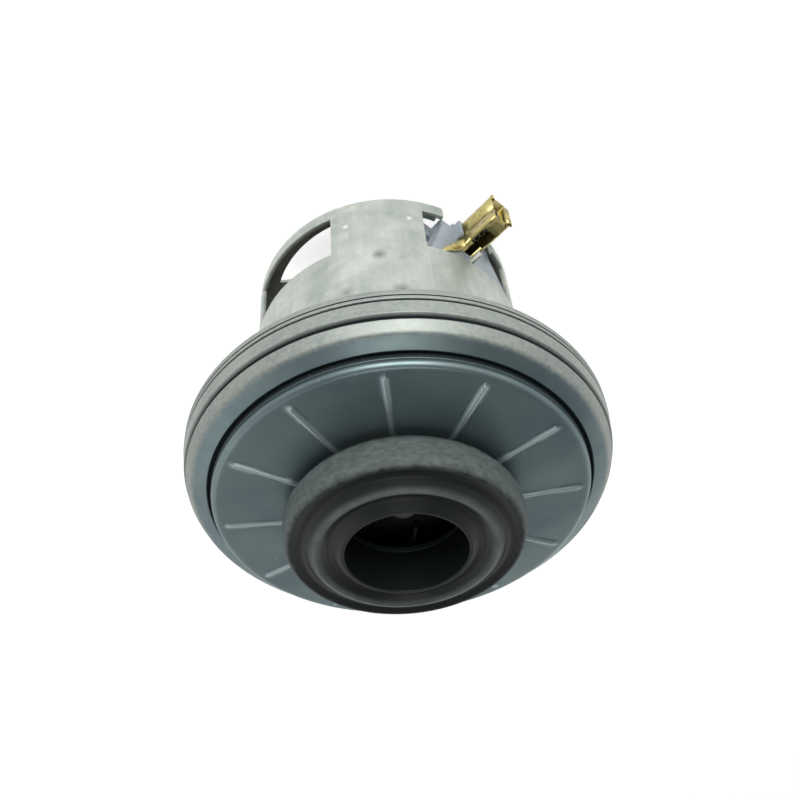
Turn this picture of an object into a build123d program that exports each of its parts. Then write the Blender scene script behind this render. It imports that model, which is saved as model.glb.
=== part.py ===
from build123d import *
import math
import os

# Dry through-flow motor unit for a vacuum cleaner. It stands on its rear bearing boss with the
# air inlet upwards: Z is the shaft axis and z = 0 is the outer face of the rear boss.
# Lengths are millimetres, angles are degrees.

# Fits and clearances
overrun = 2.0
seat_gap = 0.02
loose_gap = 0.3
brush_gap = 0.1
air_gap = 0.6
running_gap = 1.0
clamp_gap = 0.3
stator_gap = 0.2

# Straight facets of a bend, sides of a wire, and points to measure a coil's turns on
shoulder_facets = 2
wire_sides = 3
quarters = 4
points_per_quarter = 4

# Sealed ball bearings, the same size at both ends
bearing_bore = 8.0
bearing_diameter = 22.0
bearing_width = 7.0
bearing_inner_ring_diameter = 12.2
bearing_seal_gap = 0.3

# Motor frame, a drawn cup of galvanised steel
frame_diameter = 90.0
frame_sheet = 1.5
frame_height = 79.3
frame_end_bend = 2.2
frame_flange_bend = 2.0
rear_boss_height = 7.0
rear_boss_sheet = 1.5
rear_boss_floor = 1.2
rear_boss_hole_diameter = 11.0
end_ring_width = 5.9
bridge_width = 29.0
bridge_corner = 3.0
window_count = 4
window_angle = 45.0
window_span = 50.0
window_start = 6.6
window_height = 19.9
notch_span = 29.0

# Fan cover, pressed steel, crimped round the frame's flange
cover_diameter = 131.0
cover_sheet = 1.2
hem_width = 3.4
hem_sheet = 0.8
bead_groove_centre = 11.3
bead_groove_width = 2.4
bead_groove_depth = 0.8
cover_shoulder_height = 18.2
cover_shoulder_bend = 3.0
cover_edge_thickness = 2.0
shoulder_width = 8.3
step_groove_width = 1.6
step_groove_depth = 1.2
disc_edge_height = 19.0
disc_edge_bevel = 1.4
neck_radius = 19.9
neck_height = 34.2
rib_count = 12
rib_turn = 1.3
rib_half_width = 0.9
rib_inner_margin = 0.7
rib_outer_margin = 4.8

# Inlet seal ring, moulded rubber
seal_width = 17.0
seal_bore_inset = 2.0
seal_height = 38.2
seal_shoulder_bend = 3.4
seal_rim_drop = 1.9
seal_rim_width = 6.5
seal_trough_drop = 3.4
seal_trough_width = 3.2
seal_lip_drop = 0.7
seal_lip_width = 1.6
seal_step_drop = 2.4
seal_step_width = 4.7
seal_mouth_width = 0.8

# Drive-end bracket, pressed steel, clamped between the frame's flange and the fan cover
bracket_sheet = 1.5
bracket_cup_sheet = 1.5
bracket_cup_depth = 5.3
bracket_cup_floor = 1.2
bracket_cup_hole_diameter = 12.0
bracket_port_count = 6
bracket_port_inner_radius = 18.0
bracket_port_margin = 3.5
bracket_port_span = 44.0

# Diffuser, moulded plastic, with guide vanes round the impeller
diffuser_disc_height = 5.0
diffuser_disc_sheet = 1.5
diffuser_rim_gap = 0.5
diffuser_bore_radius = 24.0
diffuser_vane_count = 15
diffuser_vane_gap = 1.5
diffuser_vane_height = 5.0
diffuser_vane_sheet = 1.2
diffuser_vane_sweep = 16.0

# Impeller, aluminium sheet
impeller_rim_margin = 2.7
impeller_sheet = 0.9
impeller_rim_height = 4.4
impeller_eye_radius = 21.4
impeller_hub_radius = 6.0
impeller_blade_count = 7
impeller_blade_inner_radius = 17.0
impeller_blade_sweep = -62.0
impeller_blade_bow_share = 0.12
impeller_hub_height = 1.5
impeller_nut_across_flats = 13.0
impeller_nut_height = 6.5

# Shaft and armature
shaft_diameter = 8.0
shaft_top_clearance = 2.0
shaft_end_chamfer = 0.6
shaft_end_inset = 0.6
armature_share = 0.462
core_start = 35.6
core_end_space = 18.1
slot_count = 12
slot_mouth = 2.2
slot_inner_radius = 10.8
slot_inner_half = 1.4
slot_lip = 2.4
slot_outer_half = 3.0
slot_paper = 0.25
winding_bore_radius = 5.5
winding_end_length = 8.6
winding_end_margin = 3.2

# Commutator
commutator_radius = 12.0
commutator_start = 2.8
commutator_length = 13.4
commutator_riser_radius = 14.0
commutator_riser_length = 2.0
commutator_bar_count = 24
commutator_slot_width = 0.6
commutator_slot_depth = 1.4

# Stator
stator_flat_inset = 7.3
stator_pole_tip = 4.0
stator_yoke_share = 0.215
stator_slot_inner_height = 14.0
stator_slot_outer_height = 27.8
pole_gap_width = 19.0
coil_wall_inset = 0.7
coil_end_height = 8.4
coil_end_inset = 6.8
coil_end_sides = 12
coil_split = 1.0

# Brush gear, one set in the window at each of the two brush angles
brush_angles = {"a": 225.0, "b": 45.0}
brush_tube_width = 7.0
brush_tube_height = 12.0
brush_tube_sheet = 0.5
brush_tube_start_gap = 3.5
brush_tube_reach = 13.0
brush_tube_level = 9.4
brush_length = 27.5
brush_end_slot_share = 0.33
brush_hole_length = 5.5
brush_hole_end_gap = 5.9
brush_lead_slot_width = 2.6
brush_lead_slot_start_radius = 30.0
seam_width = 0.6
seam_share = 0.6
tab_sheet = 0.5
tab_reach = 1.8
tab_curl_radius = 0.9
tab_tall_height = 8.5
ear_start = 4.0
ear_wide = 13.4
ear_narrow = 7.4
ear_sheet = 0.8
ear_foot_gap = 0.4
insulator_inset = 3.5
insulator_depth = 6.0
insulator_narrow_half = 11.0
insulator_wide_half = 17.4
insulator_start = 4.6
insulator_straight = 3.6
insulator_wall = 1.6
insulator_collar_height = 3.0
insulator_inner_start_radius = 19.0
insulator_flange_half = 13.6
insulator_flange_depth = 2.4
insulator_flange_start = 1.9
terminal_sheet = 0.8
terminal_width = 2.4
terminal_reach = 6.0
terminal_offset = 1.6
terminal_level = 24.2
spring_wire = 0.6
spring_diameter = 4.8
spring_turns = 3
cap_sheet = 0.6

# Levels along the shaft, worked out from the sizes above
frame_end = rear_boss_height
flange_top = frame_end + frame_height
bracket_top = flange_top + bracket_sheet
hem_bottom = flange_top - frame_sheet - hem_sheet
rear_bearing_low = rear_boss_floor
front_bearing_low = flange_top - bracket_cup_depth
front_bearing_top = front_bearing_low + bearing_width
diffuser_disc_low = bracket_top + diffuser_disc_height
diffuser_disc_top = diffuser_disc_low + diffuser_disc_sheet
impeller_low = diffuser_disc_top + running_gap
impeller_floor = impeller_low + impeller_sheet
core_low = frame_end + core_start
core_top = flange_top - core_end_space
commutator_low = frame_end + commutator_start
commutator_top = commutator_low + commutator_length
brush_level = frame_end + brush_tube_level
seal_top = hem_bottom + seal_height

# Radii and slopes that several pieces share
bearing_radius = bearing_diameter / 2
shaft_radius = shaft_diameter / 2
frame_radius = frame_diameter / 2
frame_inner_radius = frame_radius - frame_sheet
end_opening_radius = frame_radius - end_ring_width
stator_radius = frame_inner_radius - stator_gap
stator_slot_radius = stator_radius * (1 - stator_yoke_share)
armature_radius = stator_radius * armature_share
stator_bore_radius = armature_radius + air_gap
pole_tip_radius = stator_bore_radius + stator_pole_tip
insulator_face = frame_radius - insulator_inset
brush_tube_start = commutator_radius + brush_tube_start_gap
brush_tube_end = frame_radius + brush_tube_reach
cover_radius = cover_diameter / 2
cover_inner_radius = cover_radius - cover_sheet
clamp_radius = cover_inner_radius - clamp_gap
diffuser_radius = clamp_radius - diffuser_rim_gap
disc_edge_radius = cover_radius - shoulder_width
impeller_radius = disc_edge_radius - impeller_rim_margin
seal_outer_radius = neck_radius + seal_width
seal_bore_radius = neck_radius - seal_bore_inset
rib_inner_radius = seal_outer_radius + rib_inner_margin
rib_outer_radius = disc_edge_radius - rib_outer_margin
cone_slope = (neck_height - disc_edge_height) / (disc_edge_radius - neck_radius)
cone_drop = cover_sheet * math.sqrt(1 + cone_slope**2)


def bend_points(point, back, ahead, bend, facets):
    """Points along a corner's arc, from its start to its end."""
    half = math.radians(back.get_angle(ahead)) / 2
    reach = bend / math.tan(half)
    centre = point + (back + ahead).normalized() * (bend / math.sin(half))
    first, last = point + back * reach - centre, point + ahead * reach - centre
    turn = math.pi - 2 * half
    points = []
    for i in range(facets + 1):
        share = i / facets
        near = first * (math.sin((1 - share) * turn) / math.sin(turn))
        far = last * (math.sin(share * turn) / math.sin(turn))
        points.append(centre + near + far)
    return points


def outline(corners):
    """Closed line in the XZ plane through (radius, height) corners.

    A corner may add the radius of its bend, drawn as one bevel, and the number of its facets.
    """
    points = [Vector(radius, 0, height) for radius, height, *_ in corners]
    path = []
    for i, (_, _, *rounding) in enumerate(corners):
        point = points[i]
        if not rounding:
            path.append(point)
            continue
        bend, facets = (rounding + [1])[:2]
        back = (points[i - 1] - point).normalized()
        ahead = (points[(i + 1) % len(points)] - point).normalized()
        path += bend_points(point, back, ahead, bend, facets)
    return Polyline(*path, close=True)


def turned(corners):
    """Solid of revolution about the shaft axis."""
    return revolve(make_face(outline(corners)), Axis.Z)


def disc(inner, outer, low, high):
    """Plain ring between two radii and two levels."""
    return turned([(inner, low), (outer, low), (outer, high), (inner, high)])


def rod(radius, low, high):
    """Round rod on the shaft axis."""
    return Pos(0, 0, (low + high) / 2) * Cylinder(radius, high - low)


def sector(inner, outer, low, high, middle, span):
    """Part of a ring, centred on an angle about the shaft axis."""
    profile = make_face(outline([(inner, low), (outer, low), (outer, high), (inner, high)]))
    part = revolve(profile, Axis.Z, revolution_arc=span)
    centre = part.center()
    now = math.degrees(math.atan2(centre.Y, centre.X))
    return Rot(0, 0, middle - now) * part


def block(low, high):
    """Box between two opposite corners."""
    size = [b - a for a, b in zip(low, high)]
    middle = [(a + b) / 2 for a, b in zip(low, high)]
    return Pos(*middle) * Box(*size)


def around(piece, count, start=0.0):
    """Copies of a piece, evenly spaced about the shaft axis."""
    return [Rot(0, 0, start + 360 * i / count) * piece for i in range(count)]


def polar(radius, angle):
    """Point in the XY plane."""
    return Vector(radius * math.cos(math.radians(angle)), radius * math.sin(math.radians(angle)), 0)


def curved_blade(inner, outer, sweep, bow_share, sheet, low, high):
    """Thin upright blade from one radius to another along a bowed line."""
    start, finish = polar(inner, 0), polar(outer, sweep)
    chord = finish - start
    side = Vector(-chord.Y, chord.X, 0) * math.copysign(1, sweep)
    middle = (start + finish) / 2 - side * bow_share
    shift = side.normalized() * sheet
    near = ThreePointArc(start, middle, finish)
    far = ThreePointArc(finish + shift, middle + shift, start + shift)
    face = make_face([near, Line(finish, finish + shift), far, Line(start + shift, start)])
    return Pos(0, 0, low) * extrude(face, high - low, dir=(0, 0, 1))


def straight_vane(inner, outer, sweep, sheet, low, high):
    """Flat upright vane from one radius to another."""
    start, finish = polar(inner, 0), polar(outer, sweep)
    chord = finish - start
    shift = Vector(-chord.Y, chord.X, 0).normalized() * sheet
    face = make_face(Polyline(start, finish, finish + shift, start + shift, close=True))
    return Pos(0, 0, low) * extrude(face, high - low, dir=(0, 0, 1))


def cone_height(radius):
    """Level of the fan cover's conical outer face at a radius."""
    return hem_bottom + disc_edge_height + cone_slope * (disc_edge_radius - radius)


def motor_frame():
    """Cup with flange, four windows, end bridge and rear bearing boss."""
    boss_radius = bearing_radius + seat_gap + rear_boss_sheet
    shell = turned(
        [
            (rear_boss_hole_diameter / 2, 0),
            (boss_radius, 0),
            (boss_radius, frame_end),
            (frame_radius, frame_end, frame_end_bend),
            (frame_radius, flange_top - frame_sheet, frame_flange_bend),
            (clamp_radius, flange_top - frame_sheet),
            (clamp_radius, flange_top),
            (frame_inner_radius, flange_top),
            (frame_inner_radius, frame_end + frame_sheet),
            (bearing_radius + seat_gap, frame_end + frame_sheet),
            (bearing_radius + seat_gap, rear_boss_floor),
            (rear_boss_hole_diameter / 2, rear_boss_floor),
        ]
    )
    opening = Circle(end_opening_radius) - Rectangle(2 * end_opening_radius, bridge_width)
    opening = fillet(opening.vertices(), bridge_corner)
    shell -= Pos(0, 0, frame_end - overrun) * extrude(opening, frame_sheet + 2 * overrun)
    low = frame_end + window_start
    window = sector(
        frame_inner_radius - overrun,
        frame_radius + overrun,
        low,
        low + window_height,
        window_angle,
        window_span,
    )
    shell -= around(window, window_count)
    notch = sector(
        end_opening_radius - overrun,
        frame_radius + overrun,
        frame_end - overrun,
        low + overrun,
        brush_angles["a"],
        notch_span,
    )
    shell -= around(notch, len(brush_angles))
    return shell


def cover_rib():
    """Half-round bead along the cone on the +X side."""
    slope = math.degrees(math.atan(cone_slope))
    length = (rib_outer_radius - rib_inner_radius) / math.cos(math.radians(slope))
    middle = (rib_inner_radius + rib_outer_radius) / 2
    bead = Cylinder(rib_half_width, length)
    return Pos(middle, 0, cone_height(middle)) * Rot(0, 90 + slope, 0) * bead


def groove(radius, height, width, depth):
    """Three corners of a V-groove round a wall."""
    return [(radius, height - width / 2), (radius - depth, height), (radius, height + width / 2)]


def fan_cover():
    """Stepped and ribbed cover whose hem closes under the frame's flange."""
    z = hem_bottom
    face = z + cover_shoulder_height
    edge_under = face - cover_edge_thickness
    under_rise = cone_height(disc_edge_radius) - cone_drop - edge_under
    under_radius = disc_edge_radius + under_rise / cone_slope
    corners = [
        (cover_radius - hem_width, z),
        (cover_radius, z),
        *groove(cover_radius, z + bead_groove_centre, bead_groove_width, bead_groove_depth),
        (cover_radius, face, cover_shoulder_bend, shoulder_facets),
        (disc_edge_radius + step_groove_width, face),
        (disc_edge_radius, face - step_groove_depth),
        (disc_edge_radius, z + disc_edge_height - disc_edge_bevel / 2),
        (disc_edge_radius - disc_edge_bevel, cone_height(disc_edge_radius - disc_edge_bevel)),
        (neck_radius, z + neck_height),
        (neck_radius - cover_sheet, z + neck_height),
        (neck_radius - cover_sheet, cone_height(neck_radius - cover_sheet) - cone_drop),
        (under_radius, edge_under),
        (cover_inner_radius, edge_under),
        (cover_inner_radius, z + hem_sheet),
        (cover_radius - hem_width, z + hem_sheet),
    ]
    return turned(corners) + around(cover_rib(), rib_count, rib_turn)


def inlet_seal_ring():
    """Dished rubber ring that sits on the cone round the neck."""
    top = seal_top
    trough_radius = seal_outer_radius - seal_rim_width
    lip_radius = trough_radius - seal_trough_width
    return turned(
        [
            (seal_outer_radius, cone_height(seal_outer_radius)),
            (seal_outer_radius, top - seal_rim_drop, seal_shoulder_bend),
            (trough_radius, top - seal_trough_drop),
            (lip_radius, top - seal_lip_drop),
            (lip_radius - seal_lip_width, top - seal_lip_drop),
            (seal_bore_radius + seal_step_width, top - seal_step_drop),
            (seal_bore_radius + seal_mouth_width, top),
            (seal_bore_radius, top),
            (seal_bore_radius, cone_height(neck_radius)),
            (neck_radius, cone_height(neck_radius)),
        ]
    )


def drive_end_bracket():
    """Plate with air ports and a cup for the front bearing."""
    cup_radius = bearing_radius + seat_gap + bracket_cup_sheet
    plate = turned(
        [
            (bracket_cup_hole_diameter / 2, front_bearing_low - bracket_cup_floor),
            (cup_radius, front_bearing_low - bracket_cup_floor),
            (cup_radius, flange_top),
            (clamp_radius, flange_top),
            (clamp_radius, bracket_top),
            (bearing_radius + seat_gap, bracket_top),
            (bearing_radius + seat_gap, front_bearing_low),
            (bracket_cup_hole_diameter / 2, front_bearing_low),
        ]
    )
    port = sector(
        bracket_port_inner_radius,
        frame_inner_radius - bracket_port_margin,
        flange_top - overrun,
        bracket_top + overrun,
        0,
        bracket_port_span,
    )
    return plate - around(port, bracket_port_count)


def bearing_rings():
    """Outer rings with their seals, and inner rings, of the bearings at both ends."""
    inner_ring_radius = bearing_inner_ring_diameter / 2
    outer, inner = [], []
    for low in (rear_bearing_low, front_bearing_low):
        top = low + bearing_width
        outer.append(disc(inner_ring_radius + bearing_seal_gap, bearing_radius, low, top))
        inner.append(disc(bearing_bore / 2, inner_ring_radius, low, top))
    return outer, inner


def diffuser():
    """Disc under the impeller with guide vanes round it."""
    body = disc(diffuser_bore_radius, diffuser_radius, diffuser_disc_low, diffuser_disc_top)
    vane = straight_vane(
        impeller_radius + diffuser_vane_gap,
        diffuser_radius,
        diffuser_vane_sweep,
        diffuser_vane_sheet,
        diffuser_disc_top,
        diffuser_disc_top + diffuser_vane_height,
    )
    return body + around(vane, diffuser_vane_count)


def impeller_front_height(radius):
    """Level of the underside of the impeller's front plate at a radius."""
    return impeller_floor + impeller_rim_height + cone_slope * (impeller_radius - radius)


def impeller():
    """Back plate with its hub, swept blades and conical front plate."""
    hub = impeller_hub_radius
    back = disc(shaft_radius, impeller_radius, impeller_low, impeller_floor)
    back += disc(shaft_radius, hub, front_bearing_top, impeller_floor + impeller_hub_height)
    eye = impeller_front_height(impeller_eye_radius)
    rim = impeller_front_height(impeller_radius)
    drop = impeller_sheet * math.sqrt(1 + cone_slope**2)
    front = turned(
        [
            (impeller_radius, rim),
            (impeller_radius, rim + drop),
            (impeller_eye_radius, eye + drop),
            (impeller_eye_radius, eye),
        ]
    )
    room = turned(
        [
            (hub, impeller_floor),
            (impeller_radius, impeller_floor),
            (impeller_radius, rim),
            (impeller_eye_radius, eye),
            (hub, rim),
        ]
    )
    blade = room & curved_blade(
        impeller_blade_inner_radius,
        impeller_radius - impeller_sheet,
        impeller_blade_sweep,
        impeller_blade_bow_share,
        impeller_sheet,
        impeller_floor,
        eye,
    )
    return back, around(blade, impeller_blade_count), front


def impeller_nut():
    """Hexagon nut on the top end of the shaft."""
    low = impeller_floor + impeller_hub_height
    plan = RegularPolygon(impeller_nut_across_flats / 2, 6, major_radius=False)
    plan -= Circle(shaft_radius)
    return Pos(0, 0, low) * extrude(plan, impeller_nut_height)


def shaft():
    """Ground shaft with chamfered ends."""
    low = rear_bearing_low + shaft_end_inset
    top = impeller_floor + impeller_hub_height + impeller_nut_height + shaft_top_clearance
    return turned(
        [
            (0, low),
            (shaft_radius - shaft_end_chamfer, low),
            (shaft_radius, low + shaft_end_chamfer),
            (shaft_radius, top - shaft_end_chamfer),
            (shaft_radius - shaft_end_chamfer, top),
            (0, top),
        ]
    )


def winding_slot(inset, low, high):
    """Winding slot on the +X side, smaller all round by an inset."""
    inner, outer = slot_inner_radius + inset, armature_radius - slot_lip - inset
    narrow, wide = slot_inner_half - inset, slot_outer_half - inset
    face = make_face(
        Polyline((inner, -narrow), (outer, -wide), (outer, wide), (inner, narrow), close=True)
    )
    return Pos(0, 0, low) * extrude(face, high - low)


def armature_core():
    """Laminated core with winding slots open at the rim."""
    core = disc(shaft_radius, armature_radius, core_low, core_top)
    mouth = block(
        (slot_inner_radius, -slot_mouth / 2, core_low - overrun),
        (armature_radius + overrun, slot_mouth / 2, core_top + overrun),
    )
    slot = winding_slot(0, core_low - overrun, core_top + overrun) + mouth
    return core - around(slot, slot_count)


def armature_winding():
    """Windings: a bundle in each slot, joined by the end turns."""
    plan = RegularPolygon(armature_radius - winding_end_margin, slot_count, major_radius=False)
    ends = extrude(plan - Circle(winding_bore_radius), winding_end_length)
    body = Pos(0, 0, core_top) * ends + Pos(0, 0, core_low - winding_end_length) * ends
    bundle = winding_slot(slot_paper, core_low - slot_paper, core_top + slot_paper)
    return body + around(bundle, slot_count)


def commutator():
    """Copper bars with risers on a moulded hub, undercut between the bars."""
    top = commutator_top + commutator_riser_length
    body = turned(
        [
            (shaft_radius, commutator_low),
            (commutator_radius, commutator_low),
            (commutator_radius, commutator_top),
            (commutator_riser_radius, commutator_top),
            (commutator_riser_radius, top),
            (shaft_radius, top),
        ]
    )
    half = commutator_slot_width / 2
    slot = block(
        (commutator_radius - commutator_slot_depth, -half, commutator_low - overrun),
        (commutator_riser_radius + overrun, half, top + overrun),
    )
    return body - around(slot, commutator_bar_count)


def coil_space(inset=0.0):
    """Plan of the stator's coil spaces, smaller all round by an inset."""
    ring = Circle(stator_slot_radius - inset) - Circle(pole_tip_radius + inset)
    band = Rectangle(2 * stator_radius, 2 * (stator_slot_outer_height - inset))
    band -= Rectangle(2 * stator_radius, 2 * (stator_slot_inner_height + inset))
    return ring & band


def stator_core():
    """Laminated two-pole stator, its poles on the X axis and its flats across Y."""
    flats = Rectangle(2 * stator_radius, 2 * (stator_radius - stator_flat_inset))
    plan = Circle(stator_radius) & flats
    plan -= Circle(stator_bore_radius)
    plan -= coil_space()
    plan -= Rectangle(pole_gap_width, 2 * (pole_tip_radius + air_gap))
    return Pos(0, 0, core_low) * extrude(plan, core_top - core_low)


def field_coil():
    """Saddle-shaped coil round the +X pole."""
    inner = pole_tip_radius + coil_wall_inset
    half_plane = Rectangle(stator_radius, 2 * stator_radius)
    half_plane = Pos(coil_split + stator_radius / 2, 0) * half_plane
    sides = coil_space(coil_wall_inset) & half_plane
    coil = Pos(0, 0, core_low) * extrude(sides, core_top - core_low)
    turns = RegularPolygon(stator_radius - coil_end_inset, coil_end_sides)
    turns -= RegularPolygon(inner, coil_end_sides, major_radius=False)
    end = extrude(turns & half_plane, coil_end_height)
    for low in (core_top, core_low - coil_end_height):
        coil += Pos(0, 0, low) * end
    return coil


def brush_insulator():
    """Moulded block in the window, with a channel for the brush tube."""
    low = frame_end + insulator_start
    high = frame_end + window_start + window_height
    straight = low + insulator_straight
    half_low, half_high = insulator_narrow_half, insulator_wide_half
    face = make_face(
        Polyline(
            (0, -half_low, low),
            (0, half_low, low),
            (0, half_low, straight),
            (0, half_high, high),
            (0, -half_high, high),
            (0, -half_low, straight),
            close=True,
        )
    )
    inner_face = insulator_face - insulator_depth
    body = Pos(inner_face, 0, 0) * extrude(face, insulator_depth, dir=(1, 0, 0))
    wall = insulator_wall
    half_width = brush_tube_width / 2 + seat_gap
    half_height = brush_tube_height / 2 + seat_gap
    collar_top = brush_level + half_height - ear_start - loose_gap
    body += block(
        (insulator_inner_start_radius, -half_width - wall, brush_level - half_height - wall),
        (insulator_face, half_width + wall, brush_level + half_height + wall),
    )
    body += block(
        (insulator_face, half_width, brush_level - half_height),
        (insulator_face + insulator_collar_height, half_width + wall, collar_top),
    )
    flange_low = frame_end + insulator_flange_start
    body += block(
        (inner_face - insulator_flange_depth, -insulator_flange_half, flange_low),
        (inner_face, insulator_flange_half, straight),
    )
    channel = block(
        (0, -half_width, brush_level - half_height),
        (cover_radius, half_width, brush_level + half_height),
    )
    return body - channel


def brush_tube():
    """Folded brass tube with seam, brush window, lead slot, end tabs and mounting ear."""
    width, height, sheet = brush_tube_width / 2, brush_tube_height / 2, brush_tube_sheet
    start, end = brush_tube_start, brush_tube_end
    low, high = brush_level - height, brush_level + height
    tube = block((start, -width, low), (end, width, high))
    tube -= block(
        (start - overrun, -width + sheet, low + sheet),
        (end - cap_sheet, width - sheet, high - sheet),
    )
    slot_half = width * brush_end_slot_share
    tube -= block(
        (end - cap_sheet - overrun, -slot_half, low - overrun),
        (end + overrun, slot_half, high - sheet),
    )
    hole_end = end - brush_hole_end_gap
    tube -= block(
        (hole_end - brush_hole_length, -width + 2 * sheet, high - 2 * sheet),
        (hole_end, width - 2 * sheet, high + overrun),
    )
    tube -= block(
        (brush_lead_slot_start_radius, -brush_lead_slot_width / 2, high - 2 * sheet),
        (hole_end, brush_lead_slot_width / 2, high + overrun),
    )
    seam = low + seam_share * brush_tube_height
    tube -= block(
        (insulator_face + insulator_collar_height, width - 2 * sheet, seam),
        (end + overrun, width + overrun, seam + seam_width),
    )
    hook = Pos(end + tab_reach / 2, width - sheet, low + tab_curl_radius) * Box(
        tab_reach, 2 * sheet, 2 * tab_curl_radius
    )
    tab = block(
        (end - sheet, -width, high - tab_tall_height), (end + tab_reach, -width + sheet, high)
    )
    curl = block(
        (end + tab_reach, -width, high - tab_tall_height),
        (end + tab_reach + tab_sheet, -width + tab_reach, high),
    )
    ear_low = high - ear_start
    ear_high = frame_end + window_start + window_height - ear_foot_gap
    ear_plan = make_face(
        Polyline(
            (0, width, ear_low),
            (0, ear_narrow, high),
            (0, ear_wide, ear_high),
            (0, 0, ear_high),
            (0, 0, high - sheet),
            (0, width, high - sheet),
            close=True,
        )
    )
    ear = Pos(insulator_face, 0, 0) * extrude(ear_plan, ear_sheet, dir=(1, 0, 0))
    return tube + hook + tab + curl + ear


def brush_terminal():
    """Tinned tab on the ear of the brush tube."""
    low = frame_end + terminal_level - terminal_width / 2
    base = insulator_face + ear_sheet
    foot = block(
        (base, terminal_offset, low),
        (base + terminal_sheet, terminal_offset + 2 * terminal_width, low + terminal_width),
    )
    blade = block(
        (base, terminal_offset, low),
        (base + terminal_reach, terminal_offset + terminal_sheet, low + terminal_width),
    )
    return foot + blade


def carbon_brush():
    """Carbon block whose end is ground to the commutator."""
    width = brush_tube_width / 2 - brush_tube_sheet - brush_gap
    height = brush_tube_height / 2 - brush_tube_sheet - brush_gap
    body = block(
        (0, -width, brush_level - height),
        (commutator_radius + brush_length, width, brush_level + height),
    )
    return body - rod(commutator_radius + loose_gap, frame_end, frame_end + core_start)


def quarter_turn_points(radius, rise, turns, start):
    """Points and directions along a helix about X, a quarter turn apart."""
    rows = []
    for i in range(turns * quarters + 1):
        angle = 2 * math.pi * i / quarters
        across, up = math.cos(angle), math.sin(angle)
        place = Vector(start + rise * i / quarters, radius * across, radius * up)
        slope = Vector(rise / (2 * math.pi), -radius * up, radius * across)
        rows.append((place, slope.normalized()))
    return rows


def two_arcs(start, start_way, finish, finish_way):
    """Pair of arcs that join two points and keep both directions."""
    gap = finish - start
    ways = start_way + finish_way
    bend = 2 * (1 - start_way.dot(finish_way))
    along = gap.dot(ways)
    reach = (math.sqrt(along**2 + bend * gap.dot(gap)) - along) / bend
    near, far = start + start_way * reach, finish - finish_way * reach
    middle = (near + far) / 2
    first = TangentArc(start, middle, tangent=start_way)
    second = TangentArc(middle, finish, tangent=(far - near).normalized())
    return [first, second]


def least_gap(path, wire, turns):
    """Least clear distance between a coil's turns, measured on points of its path."""
    count = turns * quarters * points_per_quarter
    points = [path.position_at(i / count) for i in range(count + 1)]
    apart = quarters * points_per_quarter // 2
    return min(
        (points[i] - points[j]).length - wire
        for i in range(count + 1)
        for j in range(i + apart, count + 1)
    )


def brush_spring():
    """Compression spring between the brush and the outer end of its tube."""
    radius = (spring_diameter - spring_wire) / 2
    low = commutator_radius + brush_length + seat_gap + spring_wire / 2
    high = brush_tube_end - cap_sheet - loose_gap - spring_wire / 2
    rise = (high - low) / spring_turns
    rows = quarter_turn_points(radius, rise, spring_turns, low)
    arcs = []
    for (start, way), (finish, next_way) in zip(rows, rows[1:]):
        arcs += two_arcs(start, way, finish, next_way)
    path = Wire(arcs)
    section = Plane(origin=rows[0][0], z_dir=rows[0][1]) * RegularPolygon(spring_wire / 2, wire_sides)
    print("spring: least gap between turns", round(least_gap(path, spring_wire, spring_turns), 2))
    return Pos(0, 0, brush_level) * sweep(section, path=path)


def as_compound(shapes):
    """One compound from a shape or a list of shapes."""
    solids = []
    for shape in shapes if isinstance(shapes, list) else [shapes]:
        solids += list(shape.solids())
    return Compound(children=solids) if len(solids) > 1 else solids[0]


outer_rings, inner_rings = bearing_rings()
impeller_back, impeller_blades, impeller_front = impeller()

pieces = {
    "motor_frame": motor_frame(),
    "fan_cover": fan_cover(),
    "inlet_seal_ring": inlet_seal_ring(),
    "drive_end_bracket": drive_end_bracket(),
    "diffuser": diffuser(),
    "bearing_outer_rings": outer_rings,
    "bearing_inner_rings": inner_rings,
    "stator_core": stator_core(),
    "shaft": shaft(),
    "armature_core": armature_core(),
    "armature_winding": armature_winding(),
    "commutator": commutator(),
    "impeller_back_plate": impeller_back,
    "impeller_blades": impeller_blades,
    "impeller_front_plate": impeller_front,
    "impeller_nut": impeller_nut(),
}
for name, angle in {"a": 0, "b": 180}.items():
    pieces[f"field_coil_{name}"] = Rot(0, 0, angle) * field_coil()
for name, angle in brush_angles.items():
    pieces[f"brush_insulator_{name}"] = Rot(0, 0, angle) * brush_insulator()
    pieces[f"brush_tube_{name}"] = Rot(0, 0, angle) * brush_tube()
    pieces[f"brush_terminal_{name}"] = Rot(0, 0, angle) * brush_terminal()
    pieces[f"carbon_brush_{name}"] = Rot(0, 0, angle) * carbon_brush()
    pieces[f"brush_spring_{name}"] = Rot(0, 0, angle) * brush_spring()

os.makedirs("parts", exist_ok=True)
for name, piece in pieces.items():
    export_step(as_compound(piece), f"parts/{name}.step")
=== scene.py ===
"""Looks of a vacuum motor unit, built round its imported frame.

Sizes are millimetres in the frame's own axes: Z is the shaft axis, z = 0 is the outer face of the
rear bearing boss, and the air inlet is at the top.
"""
import logging
import math
import random
from dataclasses import dataclass, field
from enum import Enum

import bmesh
import bpy
from mathutils import Matrix, Vector


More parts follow.
